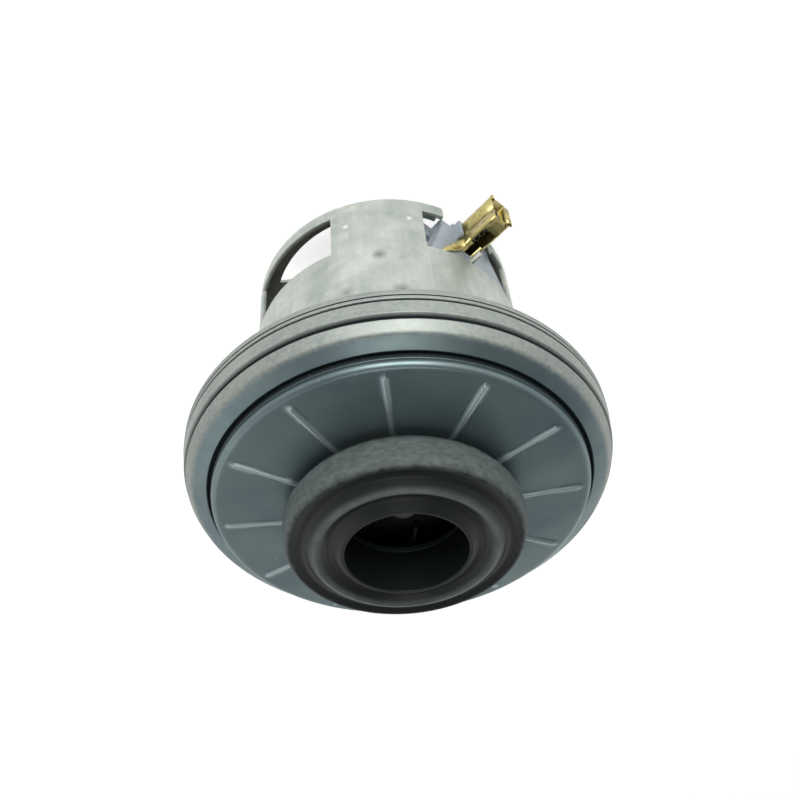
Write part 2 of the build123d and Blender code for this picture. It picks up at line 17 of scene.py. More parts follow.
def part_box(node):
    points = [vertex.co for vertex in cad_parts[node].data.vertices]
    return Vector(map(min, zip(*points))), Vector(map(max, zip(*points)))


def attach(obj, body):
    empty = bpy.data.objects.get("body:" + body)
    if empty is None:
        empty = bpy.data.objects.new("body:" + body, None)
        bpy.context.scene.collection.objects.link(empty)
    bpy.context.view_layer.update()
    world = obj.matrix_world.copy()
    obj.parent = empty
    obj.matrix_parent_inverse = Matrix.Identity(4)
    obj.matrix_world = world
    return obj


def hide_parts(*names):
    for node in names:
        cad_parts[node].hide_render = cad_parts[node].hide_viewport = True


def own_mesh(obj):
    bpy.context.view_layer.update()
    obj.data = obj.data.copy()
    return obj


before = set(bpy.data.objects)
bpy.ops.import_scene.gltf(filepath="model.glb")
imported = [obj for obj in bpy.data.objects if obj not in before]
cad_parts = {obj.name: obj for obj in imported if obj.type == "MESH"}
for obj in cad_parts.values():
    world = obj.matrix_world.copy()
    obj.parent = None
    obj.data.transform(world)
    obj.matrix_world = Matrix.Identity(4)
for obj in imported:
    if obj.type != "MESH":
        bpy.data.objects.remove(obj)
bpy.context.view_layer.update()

log = logging.getLogger("motor_unit")

MM = 0.001
TURN = 2 * math.pi
CENTRE = (0.0, 0.0, 0.0)
SHAFT_AXIS = (0.0, 0.0, 1.0)
MERGE_DISTANCE = 0.002
FLAT_ANGLE = math.radians(1)
EDGE_ANGLE = math.radians(30)
SHARP_ANGLE = math.radians(32)

Profile = list[tuple[float, ...]]
Rows = tuple[tuple[float, ...], ...]
Shape = bmesh.types.BMesh
Socket = bpy.types.NodeSocket


def low(node: str) -> Vector:
    """Lowest corner of a node of the frame, in millimetres."""
    return Vector(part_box(node)[0]) / MM


def high(node: str) -> Vector:
    """Highest corner of a node of the frame, in millimetres."""
    return Vector(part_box(node)[1]) / MM


def linear(colour: str) -> tuple[float, float, float, float]:
    """Turn an sRGB hex colour into linear RGBA.

    Args:
        colour: six hex digits.

    Returns:
        Linear red, green, blue and an alpha of one.
    """
    parts = [int(colour[i : i + 2], 16) / 255 for i in (0, 2, 4)]
    red, green, blue = (
        part / 12.92 if part <= 0.04045 else ((part + 0.055) / 1.055) ** 2.4 for part in parts
    )
    return red, green, blue, 1.0


# Sizes of the cover and the seal that their shapes share with their finishes
COVER_RIM = high("fan_cover").x
COVER_HEM = low("fan_cover").z
COVER_TOP = high("fan_cover").z
STEP_WIDTH = 9.0
STEP_RADIUS = COVER_RIM - STEP_WIDTH
STEP_RISE = 20.15
CONE_SLOPE = 0.06
SEAL_RADIUS = 35.6
SEAL_LIP = 26.4


@dataclass
class Patterns:
    """Node tree of a material or of the world, and the patterns that are made in it."""

    tree: bpy.types.NodeTree
    coordinates: str = "Object"
    place: Socket = field(init=False)

    def __post_init__(self) -> None:
        """Empty the tree and start it from its coordinates."""
        self.tree.nodes.clear()
        self.place = self.add("TexCoord", [], self.coordinates)

    def add(
        self, kind: str, inputs: dict | list, output: str | int = 0, **settings: object
    ) -> Socket | None:
        """Add a node with its settings, its constant inputs and its links.

        Args:
            kind: node type, without the ShaderNode that all of them start with.
            inputs: its inputs in order, or by name or index. An output is linked, a hex colour is
                turned to linear, and anything else is a constant.
            output: name or index of the output that is wanted.
            settings: the node's own properties.

        Returns:
            The wanted output, or nothing for a node without one.
        """
        node = self.tree.nodes.new(f"ShaderNode{kind}")
        for name, value in settings.items():
            setattr(node, name, value)
        for name, value in inputs.items() if isinstance(inputs, dict) else enumerate(inputs):
            if isinstance(value, Socket):
                self.tree.links.new(value, node.inputs[name])
            else:
                node.inputs[name].default_value = linear(value) if isinstance(value, str) else value
        return node.outputs[output] if len(node.outputs) else None

    def noise(self, grain: float, detail: float, stretch: tuple = (1, 1, 1)) -> Socket:
        """Cloudy pattern between 0 and 1.

        Args:
            grain: size of its clouds in millimetres.
            detail: octaves of finer clouds.
            stretch: how much finer the pattern is along each axis.

        Returns:
            The pattern.
        """
        spread = self.add("Mapping", {"Vector": self.place, "Scale": stretch})
        return self.add("TexNoise", {"Vector": spread, "Scale": 1 / (grain * MM), "Detail": detail})

    def patches(
        self,
        grain: float,
        detail: float,
        bare: float,
        full: float,
        stretch: tuple = (1, 1, 1),
        span: tuple[float, float] = (0.0, 1.0),
    ) -> Socket:
        """Noise drawn apart into patches.

        Args:
            grain: size of its clouds in millimetres.
            detail: octaves of finer clouds.
            bare: level of the noise below which there is no patch.
            full: level above which a patch is full.
            stretch: how much finer the pattern is along each axis.
            span: strength of no patch and of a full one.

        Returns:
            The pattern.
        """
        return self.add("MapRange", [self.noise(grain, detail, stretch), bare, full, *span])

    def total(self, start: float | Socket, *terms: tuple[Socket, float | Socket]) -> Socket:
        """Sum of a start and of products.

        Args:
            start: number or pattern that the sum starts from.
            terms: pairs of a pattern and what it is multiplied by.

        Returns:
            The sum.
        """
        for value, weight in terms:
            start = self.add("Math", [value, weight, start], operation="MULTIPLY_ADD")
        return start

    def layered(self, colour: str | Socket, *coats: tuple[Socket, str]) -> Socket:
        """Colour with others laid over it.

        Args:
            colour: the lowest colour.
            coats: pairs of a share, 1 where the coat hides all below it, and the coat's colour.

        Returns:
            The mixed colour.
        """
        for share, coat in coats:
            colour = self.add("Mix", {0: share, 6: colour, 7: coat}, 2, data_type="RGBA")
        return colour

    def band(self, value: Socket, middle: float, half: float, core: float) -> Socket:
        """Band where a value is near a level.

        Args:
            value: the radius or height.
            middle: the level.
            half: distance from it at which the band ends.
            core: distance from it within which the band is full.

        Returns:
            The band's strength, 0 to 1.
        """
        away = self.add("Math", [value, middle], operation="SUBTRACT")
        away = self.add("Math", [away], operation="ABSOLUTE")
        return self.add("MapRange", [away, half, core])

    def radius(self) -> Socket:
        """Distance from the shaft axis in millimetres."""
        flat = self.add("VectorMath", [self.place, (1 / MM, 1 / MM, 0)], operation="MULTIPLY")
        return self.add("VectorMath", [flat], "Value", operation="LENGTH")

    def height(self) -> Socket:
        """Height above the rear boss in millimetres."""
        return self.total(0.0, (self.add("SeparateXYZ", [self.place], "Z"), 1 / MM))

    def spot(self, point: tuple, reach: float) -> Socket:
        """Round spot about a point, 1 at its centre and 0 at its edge.

        Args:
            point: centre in millimetres.
            reach: radius in millimetres.

        Returns:
            The spot's strength.
        """
        centre = [value * MM for value in point]
        apart = self.add("VectorMath", [self.place, centre], "Value", operation="DISTANCE")
        return self.add("MapRange", [apart, reach * MM, 0.0])

    def rays(self) -> tuple[Socket, Socket]:
        """Kinds of rays that show a thing.

        Returns:
            1 for camera rays, and 1 for camera, transmitted and mirrored rays.
        """
        outputs = self.add("LightPath", []).node.outputs
        camera = outputs["Is Camera Ray"]
        seen = self.add("Math", [camera, outputs["Is Transmission Ray"]], operation="MAXIMUM")
        return camera, self.add("Math", [seen, outputs["Is Glossy Ray"]], operation="MAXIMUM")


@dataclass(frozen=True)
class Finish:
    """What a surface is made of and how it was made, and the record's slot that it is for."""

    name: str
    colour: str
    dark: str
    slot: str = ""
    metallic: float = 0.0
    roughness: float = 0.5

    def surface(self, patterns: Patterns) -> dict:
        """Inputs of the surface shader, and a relief's pattern and depth; each kind has its own."""
        raise NotImplementedError

    def material(self) -> bpy.types.Material:
        """Build the material once and hand it out after that.

        Returns:
            The material of this finish.
        """
        if self.name in bpy.data.materials:
            return bpy.data.materials[self.name]
        made = bpy.data.materials.new(self.name)
        made.use_nodes = True
        patterns = Patterns(made.node_tree)
        inputs = {"Metallic": self.metallic, "Roughness": self.roughness, **self.surface(patterns)}
        if "Relief" in inputs:
            relief, depth = inputs.pop("Relief")
            bump = {"Height": relief, "Distance": depth * MM, "Strength": 1.0}
            inputs["Normal"] = patterns.add("Bump", bump)
        patterns.add("OutputMaterial", [patterns.add("BsdfPrincipled", inputs)])
        return made


@dataclass(frozen=True)
class GalvanisedSheet(Finish):
    """Zinc-coated sheet steel: faint spangle, drawing marks up the wall and dull smudges."""

    spangle: float = 4.0
    smudge_colour: str = "3c4240"
    smudges: tuple = ()
    dimple_colour: str = "f4f5f2"
    dimples: tuple = ()

    def surface(self, patterns: Patterns) -> dict:
        """Spangle, clouds and streaks in colour and gloss.

        Args:
            patterns: the material's patterns.

        Returns:
            Inputs of the surface shader and the relief.
        """
        clouds = patterns.patches(14.0, 4.0, 0.35, 0.7)
        streaks = patterns.patches(2.5, 4.0, 0.3, 0.7, (1.0, 1.0, 0.08))
        spangle = {"Vector": patterns.place, "Scale": 1 / (self.spangle * MM)}
        crystals = patterns.add("SeparateColor", [patterns.add("TexVoronoi", spangle, "Color")])
        share = patterns.total(0.0, (clouds, 0.55), (streaks, 0.2), (crystals, 0.2))
        colour = patterns.layered(self.dark, (share, self.colour))
        for point, reach in self.smudges:
            smudge = patterns.total(0.0, (patterns.spot(point, reach), clouds))
            colour = patterns.layered(colour, (smudge, self.smudge_colour))
        relief = patterns.total(0.0, (patterns.noise(0.8, 2.0), 0.04))
        for point, reach in self.dimples:
            dimple = patterns.spot(point, reach)
            relief = patterns.total(relief, (dimple, -1.0))
            colour = patterns.layered(colour, (dimple, self.dimple_colour))
        return {
            "Base Color": colour,
            "Roughness": patterns.total(self.roughness + 0.1, (share, -0.16)),
            "Relief": (relief, 0.35),
        }


@dataclass(frozen=True)
class PressedCoverSheet(Finish):
    """Zinc-plated cover, pressed: blue-grey face, worn wall, a painted highlight on the rib tops and
    painted shade in its grooves.

    Bands of painted shade in the grooves are given by their rise over the hem and half their width,
    the step's by its radius.
    """

    wear_and_sheen: str = "b9b8ad"
    # Pale colour painted on the rib tops as their highlight
    painted_highlight: str = "a9b6b6"
    # Dark colour painted into the grooves as their shade
    painted_shade: str = "20282a"
    specks: str = "c4cccb"
    wall_start: float = COVER_RIM - 4.2
    wall_dulling: float = 0.4
    # Bands of painted shade in the wall's grooves and in the step's groove
    groove_shade: tuple = ((2.5, 0.35), (4.2, 0.4), (10.0, 0.85))
    step_groove_shade: tuple = (STEP_RADIUS + 0.45, 0.65)
    cone_edge: float = STEP_RADIUS - 3.5

    def surface(self, patterns: Patterns) -> dict:
        """Blue-grey face, with wear and dirt placed by radius and height.

        Args:
            patterns: the material's patterns.

        Returns:
            Inputs of the surface shader and the relief.
        """
        radius = patterns.radius()
        rise = patterns.total(-COVER_HEM, (patterns.height(), 1.0))
        clouds = patterns.patches(22.0, 4.0, 0.3, 0.7)
        # Worn zinc in fine blotches on the wall catches the light in specks
        ragged = patterns.total(radius, (patterns.noise(2.0, 4.0), 1.4))
        wall = patterns.add("MapRange", [ragged, self.wall_start + 0.6, self.wall_start + 2.0])
        blotches = patterns.patches(1.4, 6.0, 0.3, 0.75, (1.0, 1.0, 1.5), (0.25, 0.7))
        wear_and_sheen = patterns.total(0.0, (wall, blotches))
        # The tops of the ribs get a painted highlight, paler than the cone between them
        apex_rise = STEP_RISE + CONE_SLOPE * STEP_RADIUS
        above = patterns.total(-apex_rise, (rise, 1.0), (radius, CONE_SLOPE))
        tops = patterns.add("MapRange", [above, 0.1, 0.5, 0.0, 0.8])
        inside = patterns.add("MapRange", [radius, self.cone_edge + 1.0, self.cone_edge])
        rib_highlight = patterns.total(0.0, (tops, inside))
        # Painted shade darkens the grooves of the wall and the step's groove
        middle, half = self.step_groove_shade
        groove_shade = patterns.band(radius, middle, half, half * 0.6)
        for level, half in self.groove_shade:
            groove = patterns.band(rise, level, half, half * 0.5)
            groove_shade = patterns.add("Math", [groove_shade, groove], operation="MAXIMUM")
        colour = patterns.layered(
            self.dark, (clouds, self.colour), (wear_and_sheen, self.wear_and_sheen), (rib_highlight, self.painted_highlight), (groove_shade, self.painted_shade)
        )
        dull = ((clouds, -0.08), (wear_and_sheen, self.wall_dulling), (groove_shade, 0.35))
        return {
            "Base Color": patterns.layered(colour, (patterns.patches(0.9, 2.0, 0.76, 0.79), self.specks)),
            "Roughness": patterns.total(self.roughness + 0.04, *dull),
            "Relief": (patterns.noise(1.5, 3.0), 0.012),
        }


@dataclass(frozen=True)
class MouldedRubber(Finish):
    """Compression-moulded black rubber: dusty, scuffed wall, clean dish and a painted highlight on the
    lip.
    """

    wall_start: float = SEAL_RADIUS - 2.0
    lip_radius: float = SEAL_LIP - 0.1
    lip_half: float = 1.9
    gloss: float = 0.28

    def surface(self, patterns: Patterns) -> dict:
        """Black rubber, paler with dust on its wall and with a painted highlight on its lip.

        Args:
            patterns: the material's patterns.

        Returns:
            Inputs of the surface shader and the relief.
        """
        radius = patterns.radius()
        # Dust and scuffs cling to the wall and fade out over its rounded edge
        ragged = patterns.total(radius, (patterns.noise(3.0, 5.0), 2.4))
        wall = patterns.add("MapRange", [ragged, self.wall_start + 0.8, self.wall_start + 2.6])
        scuffs = patterns.patches(2.2, 7.0, 0.3, 0.75, (1.0, 1.0, 1.8), (0.5, 1.0))
        share = patterns.total(0.0, (wall, scuffs))
        # A painted highlight, a satin grey band, lies on the lip that meets the duct
        lip = patterns.band(radius, self.lip_radius, self.lip_half, 0.2)
        # Patches that vary the strength of the painted highlight on the lip
        wear_and_sheen = patterns.patches(5.0, 4.0, 0.2, 0.7, span=(0.45, 0.85))
        painted_highlight = patterns.total(0.0, (lip, wear_and_sheen))
        return {
            "Base Color": patterns.layered(self.dark, (share, self.colour), (painted_highlight, self.colour)),
            "Roughness": patterns.total(self.roughness, (share, 0.35)),
            "Specular IOR Level": self.gloss,
            "Relief": (patterns.noise(0.6, 4.0), 0.02),
        }


@dataclass(frozen=True)
class FoldedBrass(Finish):
    """Folded brass strip: bright rolled faces with patches of brown tarnish."""

    def surface(self, patterns: Patterns) -> dict:
        """Brass with patches of tarnish.

        Args:
            patterns: the material's patterns.

        Returns:
            Inputs of the surface shader and the relief.
        """
        tarnish = patterns.patches(2.4, 5.0, 0.52, 0.78, (1.0, 1.0, 1.6))
        return {
            "Base Color": patterns.layered(self.colour, (tarnish, self.dark)),
            "Roughness": patterns.total(self.roughness, (tarnish, 0.22)),
            "Relief": (patterns.noise(0.5, 2.0), 0.01),
        }


@dataclass(frozen=True)
class MouldedPlastic(Finish):
    """Injection-moulded plastic: soft spread gloss and a fine mould texture."""

    see_through: float = 0.0

    def surface(self, patterns: Patterns) -> dict:
        """Even plastic, a little lighter and darker in clouds.

        Args:
            patterns: the material's patterns.

        Returns:
            Inputs of the surface shader and the relief.
        """
        return {
            "Base Color": patterns.layered(self.dark, (patterns.noise(7.0, 2.0), self.colour)),
            "Transmission Weight": self.see_through,
            "Subsurface Weight": self.see_through,
            "Subsurface Radius": (0.002, 0.002, 0.0025),
            "Subsurface Scale": 1.0,
            "Relief": (patterns.noise(0.4, 2.0), 0.01),
        }


@dataclass(frozen=True)
class EnamelledWire(Finish):
    """Enamelled copper wire: deep copper under a glossy clear coat."""

    def surface(self, patterns: Patterns) -> dict:
        """Copper whose enamel darkens in patches.

        Args:
            patterns: the material's patterns.

        Returns:
            Inputs of the surface shader and the relief.
        """
        share = patterns.patches(1.8, 3.0, 0.35, 0.7)
        return {
            "Base Color": patterns.layered(self.dark, (share, self.colour)),
            "Coat Weight": 0.7,
            "Coat Roughness": 0.12,
            "Relief": (patterns.noise(0.4, 2.0), 0.01),
        }


@dataclass(frozen=True)
class MachinedMetal(Finish):
    """Turned or ground metal: fine rings of tool marks that stretch its highlights."""

    def surface(self, patterns: Patterns) -> dict:
        """Metal with fine marks round the shaft axis.

        Args:
            patterns: the material's patterns.

        Returns:
            Inputs of the surface shader and the relief.
        """
        marks = patterns.noise(1.2, 3.0, (0.15, 0.15, 4.0))
        gloss = [marks, 0.3, 0.7, self.roughness - 0.06, self.roughness + 0.08]
        return {
            "Base Color": patterns.layered(self.dark, (patterns.noise(6.0, 3.0), self.colour)),
            "Roughness": patterns.add("MapRange", gloss),
            "Relief": (marks, 0.01),
        }


@dataclass(frozen=True)
class StackedSheet(Finish):
    """Stack of varnished steel laminations: one thin line for each sheet, drawn coarser than life."""

    pitch: float = 0.8
    wave_scale: float = 20.0

    def surface(self, patterns: Patterns) -> dict:
        """Dark lines between the sheets, with spots of varnish.

        Args:
            patterns: the material's patterns.

        Returns:
            Inputs of the surface shader and the relief.
        """
        scale = TURN / (self.wave_scale * self.pitch * MM)
        lines = {"Vector": patterns.place, "Scale": scale, "Distortion": 0.0}
        sheets = patterns.add("TexWave", lines, "Fac", bands_direction="Z")
        varnish = patterns.patches(4.0, 4.0, 0.4, 0.65)
        share = patterns.total(0.0, (sheets, varnish))
        return {
            "Base Color": patterns.layered(self.dark, (share, self.colour)),
            "Roughness": patterns.total(self.roughness - 0.1, (varnish, 0.2)),
            "Relief": (sheets, 0.08),
        }


@dataclass(frozen=True)
class PressedCarbon(Finish):
    """Pressed carbon and graphite: matt black grain with a slight graphite sheen."""

    def surface(self, patterns: Patterns) -> dict:
        """Grainy black."""
        grain = patterns.noise(0.5, 4.0)
        return {"Base Color": patterns.layered(self.dark, (grain, self.colour)), "Relief": (grain, 0.03)}


@dataclass(frozen=True)
class PaleFloor(Finish):
    """Matt white paper under the object, lifted to white for rays that show it."""

    lift: float = 0.62

    def surface(self, patterns: Patterns) -> dict:
        """Nearly white paper with a very faint cloud, and its lift.

        Args:
            patterns: the material's patterns.

        Returns:
            Inputs of the surface shader.
        """
        seen = patterns.rays()[1]
        return {
            "Base Color": patterns.layered(self.dark, (patterns.noise(300.0, 2.0), self.colour)),
            "Emission Color": self.colour,
            "Emission Strength": patterns.total(0.0, (seen, self.lift)),
        }


# Deep-drawn galvanised steel: pale, dull silver with a faint spangle, two small dents and smudges
FRAME_STEEL = GalvanisedSheet(
    "galvanised_steel_deep_drawn",
    "cfd2ca",
    "9aa39e",
    "zinc_steel",
    metallic=0.75,
    roughness=0.42,
    smudges=(((-0.2, -45.0, 39.5), 3.0), ((11.0, -43.6, 56.0), 3.5), ((-6.0, -44.5, 58.0), 4.0)),
    dimples=(((10.3, -43.8, 21.2), 1.3), ((-10.7, -43.7, 19.4), 1.3)),
)
# Pressed zinc-plated steel: a darker, blue-grey satin metal
COVER_STEEL = PressedCoverSheet(
    "zinc_plated_steel_pressed", "7b8a89", "65757a", "cover_steel", metallic=0.85, roughness=0.36
)
# Stamped galvanised steel: clean silver, seen through the windows only
BRACKET_STEEL = GalvanisedSheet(
    "galvanised_steel_stamped", "c9ccc8", "868d8a", metallic=0.85, roughness=0.4
)
# Moulded black rubber: soft, nearly matt, greyed by dust and with a painted highlight on its lip
SEAL_RUBBER = MouldedRubber("black_rubber_moulded", "67716f", "15191a", "seal_rubber", roughness=0.38)
# Folded brass strip: warm yellow with sharp highlights on its folds
BRASS = FoldedBrass("brass_strip_folded", "b9ac74", "66562a", "brass", metallic=1.0, roughness=0.34)
# Stamped tinned steel: bright, slightly warm silver
TIN = MachinedMetal(
    "tinned_steel_stamped", "dcdcd6", "a9aaa6", "tinned_steel", metallic=1.0, roughness=0.3
)
# Moulded natural nylon: milky and blue in the shade of the windows
INSULATOR_PLASTIC = MouldedPlastic(
    "natural_nylon_moulded", "c2ced6", "a3b2bc", "insulator_plastic", roughness=0.35, see_through=0.35
)
# Moulded black polyamide: even dark grey with a soft gloss
DARK_PLASTIC = MouldedPlastic(
    "black_polyamide_moulded", "2b2c2e", "1b1c1e", "diffuser_plastic", roughness=0.5
)
# Aluminium sheet in used air: its shine is hidden by a dark film of dust
ALUMINIUM = MachinedMetal(
    "aluminium_sheet_dusty", "38393b", "151617", "aluminium_sheet", metallic=0.6, roughness=0.6
)
# Blackened forged steel: dark with soft highlights on its corners
NUT_STEEL = MachinedMetal(
    "blackened_steel_forged", "3a3b3c", "1b1b1c", "tinned_steel", metallic=0.7, roughness=0.5
)
# Ground steels: bright and nearly mirror-like along their tool marks
BEARING_STEEL = MachinedMetal("bearing_steel_ground", "bfc2c4", "8b8f92", metallic=1.0, roughness=0.2)
SHAFT_STEEL = MachinedMetal("carbon_steel_ground", "c6c8ca", "909497", metallic=1.0, roughness=0.25)
# Laminated silicon steel: grey, lined by its sheets and darkened by varnish
LAMINATIONS = StackedSheet("silicon_steel_laminated", "85888c", "2c2e31", metallic=0.9, roughness=0.45)
# Enamelled copper wire: deep red-brown under a clear, glossy coat
COPPER_WIRE = EnamelledWire(
    "copper_wire_enamelled", "a04f24", "5a2410", "winding_copper", metallic=0.8, roughness=0.3
)
# Turned copper bars: bare, bright copper with rings of tool marks
COPPER_BARS = MachinedMetal("copper_bars_turned", "c98558", "8a4a28", metallic=1.0, roughness=0.3)
# Pressed carbon: matt black and grainy
CARBON = PressedCarbon("carbon_graphite_pressed", "2e2e30", "101012", metallic=0.2, roughness=0.6)
# Drawn spring steel: cool grey wire with a thin bright line along it
SPRING_STEEL = MachinedMetal(
    "spring_steel_drawn", "a8abad", "6f7376", "spring_steel", metallic=1.0, roughness=0.28
)
# Matt white paper: no gloss and hardly any grain
FLOOR_PAPER = PaleFloor("white_paper_matt", "fbfbfb", "f7f7f7", roughness=0.9)


class Body(Enum):
    """Bodies of the frame that pieces ride on."""

    HOUSING = "housing"
    ROTOR = "rotor"
    BRUSH_A = "brush_a"
    BRUSH_B = "brush_b"


def dress(name: str, finish: Finish) -> None:
    """Give a node of the frame, which keeps its shape, the material of a finish.

    Args:
        name: the node's name.
        finish: its finish.
    """
    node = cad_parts[name]
    node.data.materials.clear()
    node.data.materials.append(finish.material())
    log.info("dressed %s in %s", name, finish.name)


def add_object(name: str, data: bpy.types.ID) -> bpy.types.Object:
    """Add an object to the scene.

    Args:
        name: the object's name.
        data: its mesh, lamp or camera.

    Returns:
        The new object.
    """
    made = bpy.data.objects.new(name, data)
    bpy.context.scene.collection.objects.link(made)
    return made


def to_mesh(name: str, shape: Shape) -> bpy.types.Mesh:
    """Turn a shape in millimetres, which is used up, into a mesh in metres.

    Args:
        name: the mesh's name.
        shape: the shape.

    Returns:
        The new mesh.
    """
    bmesh.ops.scale(shape, vec=(MM, MM, MM), verts=shape.verts)
    data = bpy.data.meshes.new(name)
    shape.to_mesh(data)
    shape.free()
    return data


def place_piece(
    name: str, node: str, data: bpy.types.Mesh, finish: Finish, body: Body
) -> bpy.types.Object:
    """Make a mesh a dressed piece of the object.

    Args:
        name: the piece's name.
        node: the frame's node that it stands for.
        data: its mesh, in metres and in place.
        finish: its finish.
        body: the body that it rides on.

    Returns:
        The new object.
    """
    data.shade_smooth()
    data.set_sharp_from_angle(angle=SHARP_ANGLE)
    data.materials.append(finish.material())
    piece = add_object(name, data)
    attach(piece, body.value)
    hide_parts(node)
    log.info("built %s with %d faces", name, len(data.polygons))
    return piece


def finish_piece(
    name: str, node: str, shape: Shape, finish: Finish, body: Body = Body.HOUSING
) -> bpy.types.Object:
    """Turn a shape in millimetres, which is used up, into a dressed piece of the object."""
    return place_piece(name, node, to_mesh(name, shape), finish, body)


def add_wall(piece: bpy.types.Object, sheet: float) -> None:
    """Give an open shell a wall on the inside of its faces.

    Args:
        piece: the shell.
        sheet: thickness of the wall in millimetres.
    """
    wall = piece.modifiers.new("wall", "SOLIDIFY")
    wall.thickness = sheet * MM
    wall.offset = -1.0


def rounded_copy(
    node: str, finish: Finish, width: float, segments: int = 2, body: Body = Body.HOUSING
) -> None:
    """Stand in for a node of the frame with a copy whose edges are rounded.

    Args:
        node: the node's name.
        finish: its finish.
        width: width of the rounding in millimetres.
        segments: faces across it.
        body: the body that it rides on.
    """
    shape = bmesh.new()
    shape.from_mesh(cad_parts[node].data)
    bmesh.ops.scale(shape, vec=(1 / MM, 1 / MM, 1 / MM), verts=shape.verts)
    closed_surface(shape)
    bmesh.ops.dissolve_limit(shape, angle_limit=FLAT_ANGLE, verts=shape.verts, edges=shape.edges)
    edges = [edge for edge in shape.edges if edge.is_manifold and edge.calc_face_angle() > EDGE_ANGLE]
    bmesh.ops.bevel(
        shape,
        geom=edges,
        offset=width,
        offset_type="OFFSET",
        segments=segments,
        profile=0.5,
        affect="EDGES",
        material=-1,
        clamp_overlap=True,
    )
    finish_piece(f"{node}_rounded", node, shape, finish, body)


def wire_bundle(
    name: str, node: str, paths: list[list[Vector]], gauge: float, body: Body
) -> bpy.types.Object:
    """Closed loops of round copper wire on smooth curves.

    Args:
        name: the piece's name.
        node: the frame's node that it stands for.
        paths: control points of each loop, in millimetres.
        gauge: diameter of the wire in millimetres.
        body: the body that it rides on.

    Returns:
        The new object.
    """
    curve = bpy.data.curves.new(name, "CURVE")
    curve.dimensions = "3D"
    curve.bevel_depth = gauge / 2 * MM
    curve.bevel_resolution = 1
    curve.resolution_u = 3
    for path in paths:
        spline = curve.splines.new("NURBS")
        spline.points.add(len(path) - 1)
        for point, place in zip(spline.points, path):
            point.co = (*(place * MM), 1)
        spline.order_u = 3
        spline.use_cyclic_u = True
    holder = bpy.data.objects.new(name, curve)
    data = bpy.data.meshes.new_from_object(holder)
    bpy.data.objects.remove(holder)
    bpy.data.curves.remove(curve)
    return place_piece(name, node, data, COPPER_WIRE, body)


def closed_surface(shape: Shape) -> None:
    """Merge doubled points and turn every face outwards."""
    bmesh.ops.remove_doubles(shape, verts=shape.verts, dist=MERGE_DISTANCE)
    bmesh.ops.recalc_face_normals(shape, faces=shape.faces)


def round_corner(shape: Shape, corner: bmesh.types.BMVert, bend: float, segments: int) -> None:
    """Round one corner of a wire outline.

    Args:
        shape: the mesh that holds the outline.
        corner: the point between two edges.
        bend: radius of the bend.
        segments: straight runs that stand for it.
    """
    first, second = ((edge.other_vert(corner).co - corner.co) for edge in corner.link_edges)
    bmesh.ops.bevel(
        shape,
        geom=[corner],
        offset=bend / math.tan(first.angle(second) / 2),
        offset_type="OFFSET",
        segments=segments,
        profile=0.5,
        affect="VERTICES",
        material=-1,
    )


def outline(points: Profile, closed: bool = True, segments: int = 6) -> Shape:
    """Wire outline in the XZ plane.

    Args:
        points: (x, z) or (x, z, bend) rows.
        closed: whether the last point joins the first.
        segments: straight runs in each bend.

    Returns:
        A mesh of points and edges.
    """
    shape = bmesh.new()
    corners = [shape.verts.new((point[0], 0, point[1])) for point in points]
    for pair in zip(corners, corners[1:] + corners[:1] if closed else corners[1:]):
        shape.edges.new(pair)
    for corner, point in zip(corners, points):
        if len(point) > 2:
            round_corner(shape, corner, point[2], segments)
    return shape


def turned(points: Profile, steps: int = 144, segments: int = 6, closed: bool = True) -> Shape:
    """Shape turned about the shaft axis from an outline.

    Args:
        points: (radius, height) or (radius, height, bend) rows.
        steps: sides of the full turn.
        segments: straight runs in each bend.
        closed: whether the outline is closed.

    Returns:
        The turned shape.
    """
    shape = outline(points, closed, segments)
    spin_round(shape, steps)
    return shape


def spin_round(shape: Shape, steps: int) -> None:
    """Spin a wire outline once round the shaft axis into a closed surface.

    Args:
        shape: the mesh that holds the outline.
        steps: sides of the full turn.
    """
    bmesh.ops.spin(
        shape,
        geom=shape.verts[:] + shape.edges[:],
        cent=CENTRE,
        axis=SHAFT_AXIS,
        angle=TURN,
        steps=steps,
        use_merge=True,
    )
    closed_surface(shape)


def turn_about(shape: Shape, angle: float, verts: list[bmesh.types.BMVert] | None = None) -> None:
    """Turn a shape, or only some of its points, about the shaft axis by an angle in degrees."""
    turn = Matrix.Rotation(math.radians(angle), 3, "Z")
    bmesh.ops.rotate(shape, cent=CENTRE, matrix=turn, verts=verts or shape.verts)


def draw_strip(shape: Shape, stations: list[tuple[float, float, float, float]]) -> None:
    """Draw an upright edge out into a strip.

    Args:
        shape: the mesh that it is added to.
        stations: rows of x, y, lower level and upper level.
    """
    pairs = [((x, y, bottom), (x, y, top)) for x, y, bottom, top in stations]
    edge = shape.edges.new([shape.verts.new(place) for place in pairs[0]])
    for pair in pairs[1:]:
        made = bmesh.ops.extrude_edge_only(shape, edges=[edge])["geom"]
        ends = [item for item in made if isinstance(item, bmesh.types.BMVert)]
        ends.sort(key=lambda vert: vert.co.z)
        for vert, place in zip(ends, pair):
            vert.co = place
        edge = shape.edges.get(ends)


def polar(radius: float, angle: float, height: float) -> Vector:
    """Point at a radius, an angle in degrees and a height."""
    turn = math.radians(angle)
    return Vector((radius * math.cos(turn), radius * math.sin(turn), height))


def around(place: Vector) -> tuple[float, float]:
    """Radius of a place and its angle in degrees."""
    return math.hypot(place.x, place.y), math.degrees(math.atan2(place.y, place.x))


